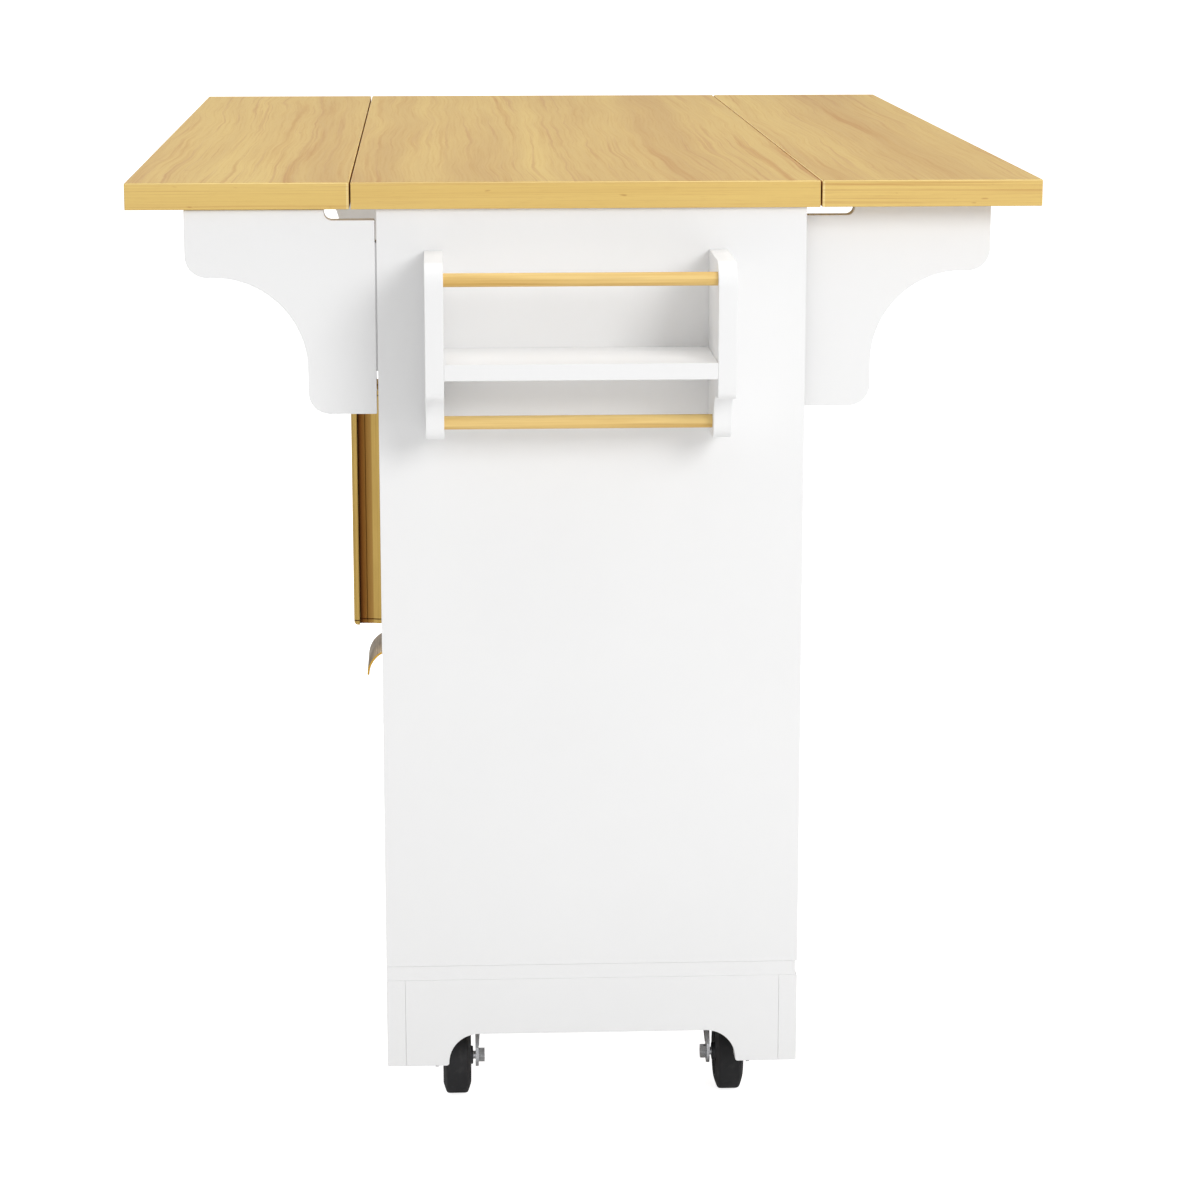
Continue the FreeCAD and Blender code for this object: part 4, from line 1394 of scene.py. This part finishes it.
@dataclass
class WhiteBoards:
    """Side plates of the rack and arched aprons of both ends, in place of plainer solids."""

    paint: bpy.types.Material
    lug_deep: float = 62.0 * MM
    shoulder: float = 44.0 * MM
    lug_round: float = 14.0 * MM
    cove: float = 28.0 * MM
    nose: float = 9.0 * MM
    crown: float = 24.0 * MM
    apron_thick: float = 18.0 * MM
    foot: float = 42.0 * MM
    foot_round: float = 2.8 * MM
    arch_high: float = 32.0 * MM
    arch: float = 28.8 * MM

    def build(self) -> None:
        """Make the boards."""
        for side in ("front", "back"):
            self.rack_side(side)
        self.end_aprons()

    def rack_side(self, side: str) -> None:
        """Side plate with a lug for the towel rod below a coved shoulder.

        Args:
            side: Side of the rack.
        """
        node = f"rack_side_{side}"
        low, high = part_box(node)
        lug, step = low[0] + self.lug_deep, low[2] + self.shoulder
        corners = (
            (low[0], low[2], 0.0),
            (lug, low[2], self.lug_round),
            (lug, step, self.cove),
            (high[0], step, self.nose),
            (high[0], high[2], self.crown),
            (low[0], high[2], 0.0),
        )
        faces = (low[1], high[1])
        plate = ShapedBoard(f"rack_plate_{side}", corners, Run.WIDTH, faces, self.paint)
        plate.build("cabinet", (node,))

    def end_aprons(self) -> None:
        """Two aprons, each with an arch between its feet."""
        low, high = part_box("apron_ends")
        rise, fall, crest = low[1] + self.foot, high[1] - self.foot, low[2] + self.arch_high
        corners = (
            (low[1], low[2], 0.0),
            (rise, low[2], self.foot_round),
            (rise, crest, self.arch),
            (fall, crest, self.arch),
            (fall, low[2], self.foot_round),
            (high[1], low[2], 0.0),
            (high[1], high[2], 0.0),
            (low[1], high[2], 0.0),
        )
        near_faces = (high[0] - self.apron_thick, high[0])
        far_faces = (low[0], low[0] + self.apron_thick)
        near = ShapedBoard("arched_apron_near", corners, Run.LENGTH, near_faces, self.paint)
        near.build("cabinet", ("apron_ends",))
        far = ShapedBoard("arched_apron_far", corners, Run.LENGTH, far_faces, self.paint)
        far.build("cabinet")


@dataclass
class CasterTrim:
    """Crowned wheel in place of a plain one, and the pressed flanges of its fork.

    The wheel's section (radius, half width) and the fork's edges (along, up) are in millimetres.
    """

    name: str
    zinc: bpy.types.Material
    turns: int = 72
    side: Sequence[Span] = (
        (4.2, 16.0), (8.4, 16.0), (9.0, 15.4), (9.6, 11.4), (23.0, 10.8), (24.4, 13.2),
        (26.5, 13.9), (28.5, 13.4), (31.0, 12.6), (33.5, 11.7), (35.6, 10.9), (36.8, 10.0),
        (37.3, 8.8), (37.5, 7.0),
    )
    cheek_out: float = 21.5 * MM
    cheek_sink: float = 0.4 * MM
    flange_wide: float = 5.6 * MM
    flange_slim: float = 0.4 * MM
    flange_thick: float = 1.6 * MM
    flange_steps: int = 10
    flange_taper: float = 1.4
    front_edge: Sequence[Span] = ((20.6, 90.8), (40.0, 50.6))
    rear_edge: Sequence[Span] = ((-19.6, 82.4), (18.6, 43.4))
    crease: float = math.radians(40)

    def build(self) -> None:
        """Make the wheel and the flanges."""
        self.wheel()
        self.flanges()

    def wheel(self) -> None:
        """Turn the wheel's section about its axle."""
        node = f"caster_{self.name}_wheel"
        low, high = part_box(node)
        axle = (low + high) / 2
        section = [*self.side, *((radius, -half) for radius, half in reversed(self.side))]
        rings = []
        for step in range(self.turns):
            turn = 2 * math.pi * step / self.turns
            rings.append([(axle[0] + radius * MM * math.cos(turn), axle[1] + half * MM,
                           axle[2] + radius * MM * math.sin(turn)) for radius, half in section])
        mesh = lofted(f"caster_{self.name}_tyre", rings, True, self.crease)
        mesh.materials.append(frame["nodes"][node].material_slots[0].material)
        settle(add_piece(mesh.name, mesh), f"caster_{self.name}_roller", (node,))

    def flanges(self) -> None:
        """Bend a tapering flange out along both edges of each cheek."""
        low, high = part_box(f"caster_{self.name}_fork")
        swivel = (low[0] + SWIVEL_BACK, (low[1] + high[1]) / 2)
        edges = (("front", self.front_edge, -1.0), ("rear", self.rear_edge, 1.0))
        for edge_name, edge, inward in edges:
            for cheek_name, cheek in (("left", -1.0), ("right", 1.0)):
                rings = [self.flange_ring(swivel, edge, inward, cheek, step / self.flange_steps)
                         for step in range(self.flange_steps + 1)]
                name = f"caster_{self.name}_flange_{edge_name}_{cheek_name}"
                mesh = lofted(name, rings, False, self.crease)
                mesh.materials.append(self.zinc)
                settle(add_piece(mesh.name, mesh), f"caster_{self.name}_yoke")

    def flange_ring(
        self, swivel: Span, edge: Sequence[Span], inward: float, cheek: float, share: float
    ) -> list[Triple]:
        """Section of a flange at a share of its length.

        Args:
            swivel: Swivel axis on the floor plan.
            edge: Ends of the cheek's edge, along and up from the swivel axis, in millimetres.
            inward: Direction from the edge into the cheek, along X.
            cheek: Side of the fork, minus one or one.
            share: Place along the edge from its upper end.

        Returns:
            Four corners.
        """
        (top_x, top_z), (end_x, end_z) = edge
        run = Vector((end_x - top_x, end_z - top_z)).normalized()
        thick = Vector((run.y, -run.x))
        thick *= self.flange_thick * math.copysign(1.0, thick.x) * inward
        x = swivel[0] + (top_x + (end_x - top_x) * share) * MM
        z = (top_z + (end_z - top_z) * share) * MM
        taper = (1.0 - share) ** self.flange_taper
        wide = self.flange_slim + (self.flange_wide - self.flange_slim) * taper
        inner = swivel[1] + cheek * (self.cheek_out - self.cheek_sink)
        outer = swivel[1] + cheek * (self.cheek_out + wide)
        far_x, far_z = x + thick.x, z + thick.y
        return [(x, inner, z), (x, outer, z), (far_x, outer, far_z), (far_x, inner, far_z)]


@dataclass
class Hardware:
    """Screws, drilled holes and wheel spokes."""

    hinge_screw: float = 3.4 * MM
    plate_screw: float = 4.2 * MM
    pull_screw: float = 4.5 * MM
    leaf_hinges: Sequence[float] = (0.2575, -0.0525, -0.3625)
    leaf_screw_out: float = 15.0 * MM
    leaf_screw_apart: float = 19.0 * MM
    leaf_plate: float = 1.5 * MM
    butt_screw_in: float = 5.5 * MM
    butt_screw_apart: float = 40.0 * MM
    butt_plate: float = 0.7 * MM
    butt_gap: float = 1.5 * MM
    flush: float = 0.024
    caster_screw_out: float = 24.0 * MM
    caster_plate: float = 3.0 * MM
    pull_screw_in: float = 36.0 * MM
    cup_screw_apart: float = 32.0 * MM
    back_screw_in: float = 45.0 * MM
    back_screw_count: int = 5
    hole_pitch: float = 32.0 * MM
    hole_count: int = 13
    hole_bore: float = 2.5 * MM
    hole_low: float = 300.0 * MM
    hole_sink: float = 0.1 * MM
    spokes: int = 8
    spoke_start: float = 8.8 * MM
    spoke_end: float = 24.0 * MM
    spoke_wide: float = 2.4 * MM
    spoke_high: float = 2.2 * MM
    dish: float = 10.7 * MM
    stamper: SetOnPoints = field(init=False)
    head: bpy.types.Object = field(init=False)
    steel: bpy.types.Material = field(init=False)

    def build(self) -> None:
        """Make and place all the small hardware."""
        self.stamper = SetOnPoints()
        self.head = ScrewHead().build()
        bright, dull = tint(206, 206, 208), tint(150, 150, 154)
        self.steel = BrushedMetal("screw_steel", bright, dull, Run.LENGTH, rough=0.28).make()
        self.leaf_screws()
        self.butt_screws()
        self.caster_screws()
        self.pull_screws()
        self.back_screws()
        self.pin_holes()
        self.wheel_spokes()
        bpy.data.objects.remove(self.head)

    def screws(
        self, name: str, body: str, spots: Sequence[Spot], radius: float, flatness: float = 1.0
    ) -> None:
        """Set screws on some spots of a body.

        Args:
            name: Name of the new piece.
            body: Body it moves with.
            spots: Place and facing of each screw.
            radius: Radius of a head.
            flatness: Share of a round head's height.
        """
        size = (radius, radius, radius * flatness)
        piece = self.stamper.stamp(name, spots, self.head, size, self.steel)
        settle(piece, body)

    def leaf_screws(self) -> None:
        """Two screws on each half of every leaf hinge, seen from below."""
        down = (0.0, 0.0, -1.0)
        fixed: list[Spot] = []
        for side, sign in (("front", -1.0), ("back", 1.0)):
            inner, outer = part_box(f"leaf_{side}")
            seam = sign * min(abs(inner[1]), abs(outer[1]))
            level = inner[2] - self.leaf_plate
            out = sign * self.leaf_screw_out
            moving: list[Spot] = []
            for middle in self.leaf_hinges:
                for shift in (-self.leaf_screw_apart, self.leaf_screw_apart):
                    moving.append(((middle + shift, seam + out, level), down))
                    fixed.append(((middle + shift, seam - out, level), down))
            self.screws(f"leaf_{side}_screws", f"{side}_leaf", moving, self.hinge_screw)
        self.screws("leaf_hinge_screws", "cabinet", fixed, self.hinge_screw)

    def butt_screws(self) -> None:
        """Three flush screws in each half of every bracket hinge."""
        fixed: list[Spot] = []
        proud, sunk = self.butt_plate, self.butt_gap - self.butt_plate
        for side, sign in (("front", -1.0), ("back", 1.0)):
            for end in ("near", "far"):
                bracket = f"bracket_{side}_{end}"
                low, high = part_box(f"{bracket}_hinge")
                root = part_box(bracket)[1 if side == "front" else 0][1]
                inset = self.butt_screw_in
                along = high[0] - inset if end == "near" else low[0] + inset
                middle = (low[2] + high[2]) / 2
                moving: list[Spot] = []
                for shift in (-self.butt_screw_apart, 0.0, self.butt_screw_apart):
                    level = middle + shift
                    moving.append(((along, root - sign * proud, level), (0.0, -sign, 0.0)))
                    fixed.append(((along, root - sign * sunk, level), (0.0, sign, 0.0)))
                body = f"{side}_{end}_bracket"
                self.screws(f"{bracket}_screws", body, moving, self.hinge_screw, self.flush)
        self.screws("butt_hinge_screws", "cabinet", fixed, self.hinge_screw, self.flush)

    def caster_screws(self) -> None:
        """Four screws in each caster plate."""
        spots = []
        out = self.caster_screw_out
        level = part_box("caster_beams")[0][2] - self.caster_plate
        for name in CASTERS:
            low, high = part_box(f"caster_{name}_fork")
            middle_y = (low[1] + high[1]) / 2
            swivel_x = low[0] + SWIVEL_BACK
            spots += [((swivel_x + across, middle_y + along, level), (0.0, 0.0, -1.0))
                      for across in (-out, out) for along in (-out, out)]
        self.screws("caster_plate_screws", "cabinet", spots, self.plate_screw)

    def pull_screws(self) -> None:
        """Screws on the inside of the doors and drawer fronts, behind their pulls."""
        back = (0.0, 1.0, 0.0)
        for side in ("near", "far"):
            low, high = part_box(f"door_{side}_pull")
            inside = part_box(f"door_{side}")[1][1]
            middle = (low[0] + high[0]) / 2
            levels = (low[2] + self.pull_screw_in, high[2] - self.pull_screw_in)
            spots = [((middle, inside, level), back) for level in levels]
            self.screws(f"door_{side}_pull_screws", f"{side}_door", spots, self.pull_screw)
        for number in (1, 2, 3):
            low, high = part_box(f"drawer_{number}_pull")
            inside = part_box(f"drawer_{number}_front")[1][1]
            middle, level = (low[0] + high[0]) / 2, high[2] - self.pull_screw
            shifts = (-self.cup_screw_apart, self.cup_screw_apart)
            spots = [((middle + shift, inside, level), back) for shift in shifts]
            self.screws(f"drawer_{number}_pull_screws", f"drawer_{number}", spots, self.pull_screw)

    def back_screws(self) -> None:
        """Upright row of screws through the back panel into the partition."""
        low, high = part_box("partition")
        middle, face = (low[0] + high[0]) / 2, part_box("back_panel")[1][1]
        pitch = (high[2] - low[2] - 2 * self.back_screw_in) / (self.back_screw_count - 1)
        spots = [((middle, face, low[2] + self.back_screw_in + pitch * step), (0.0, 1.0, 0.0))
                 for step in range(self.back_screw_count)]
        self.screws("back_panel_screws", "cabinet", spots, self.hinge_screw)

    def pin_holes(self) -> None:
        """Rows of shelf pin holes in both walls of the door bay, each a thin disc in painted hole
        shade.
        """
        column = HoleColumn()
        # The holes are thin discs whose dark colour is painted shade, not a real cavity.
        hole_shade = PaintedHoleShade("drilled_bore").make()
        pins_low, pins_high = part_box("shelf_pins")
        walls = {"near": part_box("end_panel_rack")[0][0], "far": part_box("partition")[1][0]}
        rows = {"front": pins_low[1] + self.hole_bore, "back": pins_high[1] - self.hole_bore}
        for wall, wall_x in walls.items():
            for row, row_y in rows.items():
                name = f"pin_holes_{wall}_{row}"
                piece = column.make(name, bpy.data.meshes.new(name), {
                    "Count": self.hole_count,
                    "Pitch": self.hole_pitch,
                    "Bore": self.hole_bore,
                    "Depth": self.hole_sink,
                    "Start": (wall_x, row_y, self.hole_low),
                    "Finish": hole_shade,
                })
                settle(piece, "cabinet")

    def wheel_spokes(self) -> None:
        """Spokes in the dished sides of each wheel."""
        ring = SpokeRing()
        bright, dull = tint(70, 70, 72), tint(44, 44, 46)
        hub = BrushedMetal("hub_plastic", bright, dull, Run.WIDTH, rough=0.4).make()
        for name in CASTERS:
            middle = middle_of(f"caster_{name}_wheel")
            for side, sign in (("front", -1.0), ("back", 1.0)):
                axle = (middle[0], middle[1] + sign * (self.dish + self.spoke_high / 2), middle[2])
                piece_name = f"caster_{name}_spokes_{side}"
                piece = ring.make(piece_name, bpy.data.meshes.new(piece_name), {
                    "Spokes": self.spokes,
                    "Reach": (self.spoke_start + self.spoke_end) / 2,
                    "Length": self.spoke_end - self.spoke_start,
                    "Width": self.spoke_wide,
                    "Depth": self.spoke_high,
                    "Axle": axle,
                    "Finish": hub,
                })
                settle(piece, f"caster_{name}_roller")


@dataclass
class EasedEdges:
    """Small rounding on the edges of CAD nodes, so that joints read as fine lines."""

    width: float
    nodes: Sequence[str]
    segments: int = 2
    angle: float = math.radians(35)
    flat: float = math.radians(0.5)
    merge: float = 2e-6

    def apply(self) -> None:
        """Add the rounding to every node."""
        for name in self.nodes:
            piece = frame["nodes"][name]
            weld = piece.modifiers.new("weld", "WELD")
            weld.merge_threshold = self.merge
            clean = piece.modifiers.new("flats", "DECIMATE")
            clean.decimate_type = "DISSOLVE"
            clean.angle_limit = self.flat
            ease = piece.modifiers.new("eased", "BEVEL")
            ease.width = self.width
            ease.segments = self.segments
            ease.limit_method = "ANGLE"
            ease.angle_limit = self.angle
            ease.harden_normals = True


@dataclass
class Dresser:
    """Finishes of the CAD nodes."""

    finishes: dict[Slot, bpy.types.Material] = field(default_factory=dict)
    grain_start: float = 0.9
    grain_step: float = 1.7
    board_ease: float = 0.7 * MM
    top_ease: float = 0.9 * MM
    metal_ease: float = 0.35 * MM

    def wear(self, node: str, material: bpy.types.Material) -> None:
        """Give a CAD node its material.

        Args:
            node: Name of the node.
            material: Material for all its faces.
        """
        slots = frame["nodes"][node].material_slots
        for slot in slots:
            slot.link = "OBJECT"
            slot.material = material
        LOG.info("%s wears %s", node, material.name)

    def nodes_in(self, slot: Slot) -> list[str]:
        """Nodes of one record slot."""
        rows = frame["record"]["subparts"]
        return [row["node"] for row in rows if row["material_slot"] == slot.value]

    def dress(self) -> None:
        """Give the CAD nodes their materials, and ease the edges of the white boards, the worktop
        and the pulls.
        """
        shared = {
            Slot.OAK_ROD: TurnedRod("rod_wood"),
            Slot.WHITE_BOARD: WhitePaint("white_paint"),
            Slot.BARE_TIMBER: SawnTimber("sawn_timber"),
            Slot.GOLD_PULL: BrushedMetal(
                "brushed_gold", tint(214, 180, 92), tint(170, 132, 56), Run.HEIGHT, rough=0.26),
            Slot.ANTIQUE_BRASS: AgedCup("aged_cup"),
            Slot.STEEL: BrushedMetal(
                "bright_steel", tint(226, 226, 228), tint(174, 174, 178), Run.HEIGHT, rough=0.16),
            Slot.ZINC: BrushedMetal(
                "zinc_plate", tint(226, 227, 230), tint(164, 166, 171), Run.LENGTH, rough=0.15),
        }
        for slot, finish in shared.items():
            self.finishes[slot] = finish.make()
            for node in self.nodes_in(slot):
                self.wear(node, self.finishes[slot])
        for node in self.nodes_in(Slot.STEEL):
            if node.startswith("bracket"):
                self.wear(node, self.finishes[Slot.WHITE_BOARD])
        for order, node in enumerate(self.nodes_in(Slot.OAK_TOP)):
            shift = self.grain_start + self.grain_step * order
            self.wear(node, GoldenBoard(f"{node}_wood", shift).make())
        for name in CASTERS:
            node = f"caster_{name}_wheel"
            self.wear(node, WheelRubber(f"{name}_tread", middle_of(node)).make())
        metal = self.nodes_in(Slot.GOLD_PULL) + self.nodes_in(Slot.ANTIQUE_BRASS)
        EasedEdges(self.board_ease, self.nodes_in(Slot.WHITE_BOARD)).apply()
        EasedEdges(self.top_ease, self.nodes_in(Slot.OAK_TOP)).apply()
        EasedEdges(self.metal_ease, metal).apply()


@dataclass
class Softbox:
    """Square studio light."""

    name: str
    place: Triple
    aim: Triple
    size: float
    power: float

    def build(self) -> None:
        """Hang the light and turn it to its aim."""
        data = bpy.data.lights.new(self.name, "AREA")
        data.shape = "SQUARE"
        data.size = self.size
        data.energy = self.power
        lamp = bpy.data.objects.new(self.name, data)
        lamp.location = self.place
        ahead = Vector(self.aim) - Vector(self.place)
        lamp.rotation_euler = ahead.to_track_quat("-Z", "Y").to_euler()
        bpy.context.scene.collection.objects.link(lamp)


@dataclass
class Studio:
    """Pale floor, even surround and soft lights."""

    floor_half: float = 80.0
    floor_glow: float = 0.84
    surround: float = 0.6
    seen_white: float = 1.0
    lights: Sequence[Softbox] = (
        Softbox("key_light", (3.9, 2.1, 2.5), (0.4, 0.0, 0.6), 1.7, 75.0),
        Softbox("fill_light", (3.4, -0.9, 0.4), (0.5, 0.0, 0.4), 1.5, 3.0),
        Softbox("far_light", (-3.4, -2.6, 3.0), (0.0, 0.0, 0.6), 2.0, 50.0),
        Softbox("front_light", (-0.4, -4.2, 1.7), (0.0, 0.0, 0.5), 2.2, 14.0),
        Softbox("rear_light", (-0.8, 4.2, 1.7), (0.0, 0.0, 0.5), 2.2, 17.0),
        Softbox("top_light", (0.1, 0.0, 3.4), (0.1, 0.0, 0.9), 1.8, 29.5),
    )

    def build(self) -> None:
        """Make the floor, the surround and the lights."""
        mesh = bpy.data.meshes.new("studio_floor")
        half = self.floor_half
        corners = [(-half, -half, 0.0), (half, -half, 0.0), (half, half, 0.0), (-half, half, 0.0)]
        mesh.from_pydata(corners, [], [(0, 1, 2, 3)])
        mesh.materials.append(StudioFloor("studio_floor", self.floor_glow).make())
        floor = bpy.data.objects.new("studio_floor", mesh)
        bpy.context.scene.collection.objects.link(floor)
        scene = bpy.context.scene
        scene.world = self.backdrop()
        scene.view_settings.view_transform = "Standard"
        for light in self.lights:
            light.build()

    def backdrop(self) -> bpy.types.World:
        """Even surround that lights the object softly and is seen as white.

        Returns:
            The world.
        """
        world = bpy.data.worlds.new("studio_surround")
        world.use_nodes = True
        tree = world.node_tree
        tree.nodes.clear()
        shaders = []
        for strength in (self.surround, self.seen_white):
            shader = tree.nodes.new("ShaderNodeBackground")
            shader.inputs["Color"].default_value = WHITE
            shader.inputs["Strength"].default_value = strength
            shaders.append(shader)
        path = tree.nodes.new("ShaderNodeLightPath")
        mixed = tree.nodes.new("ShaderNodeMixShader")
        output = tree.nodes.new("ShaderNodeOutputWorld")
        tree.links.new(path.outputs["Is Camera Ray"], mixed.inputs["Fac"])
        for shader, socket in zip(shaders, mixed.inputs[1:]):
            tree.links.new(shader.outputs["Background"], socket)
        tree.links.new(mixed.outputs["Shader"], output.inputs["Surface"])
        return world


@dataclass
class PhotoCamera:
    """Camera at the photograph's viewpoint."""

    place: Triple = (3.66136, -0.14179, 1.19327)
    yaw: float = 0.04969
    pitch: float = 0.2136
    lens: float = 100.6
    sensor: float = 36.0

    def build(self) -> None:
        """Make the camera and look through it."""
        data = bpy.data.cameras.new("photo_camera")
        data.lens = self.lens
        data.sensor_width = self.sensor
        camera = bpy.data.objects.new("photo_camera", data)
        level, drop = math.cos(self.pitch), math.sin(self.pitch)
        ahead = Vector((-math.cos(self.yaw) * level, math.sin(self.yaw) * level, -drop))
        camera.location = self.place
        camera.rotation_euler = ahead.to_track_quat("-Z", "Y").to_euler()
        bpy.context.scene.collection.objects.link(camera)
        bpy.context.scene.camera = camera


def main() -> None:
    """Build the scene in order."""
    logging.basicConfig(level=logging.INFO, format="%(name)s: %(message)s")
    PhotoCamera().build()
    Studio().build()
    dresser = Dresser()
    dresser.dress()
    WhiteBoards(dresser.finishes[Slot.WHITE_BOARD]).build()
    for side in ("near", "far"):
        LongPull(side).build()
    for name in CASTERS:
        CasterTrim(name, dresser.finishes[Slot.ZINC]).build()
    Hardware().build()


if __name__ == "__main__":
    main()
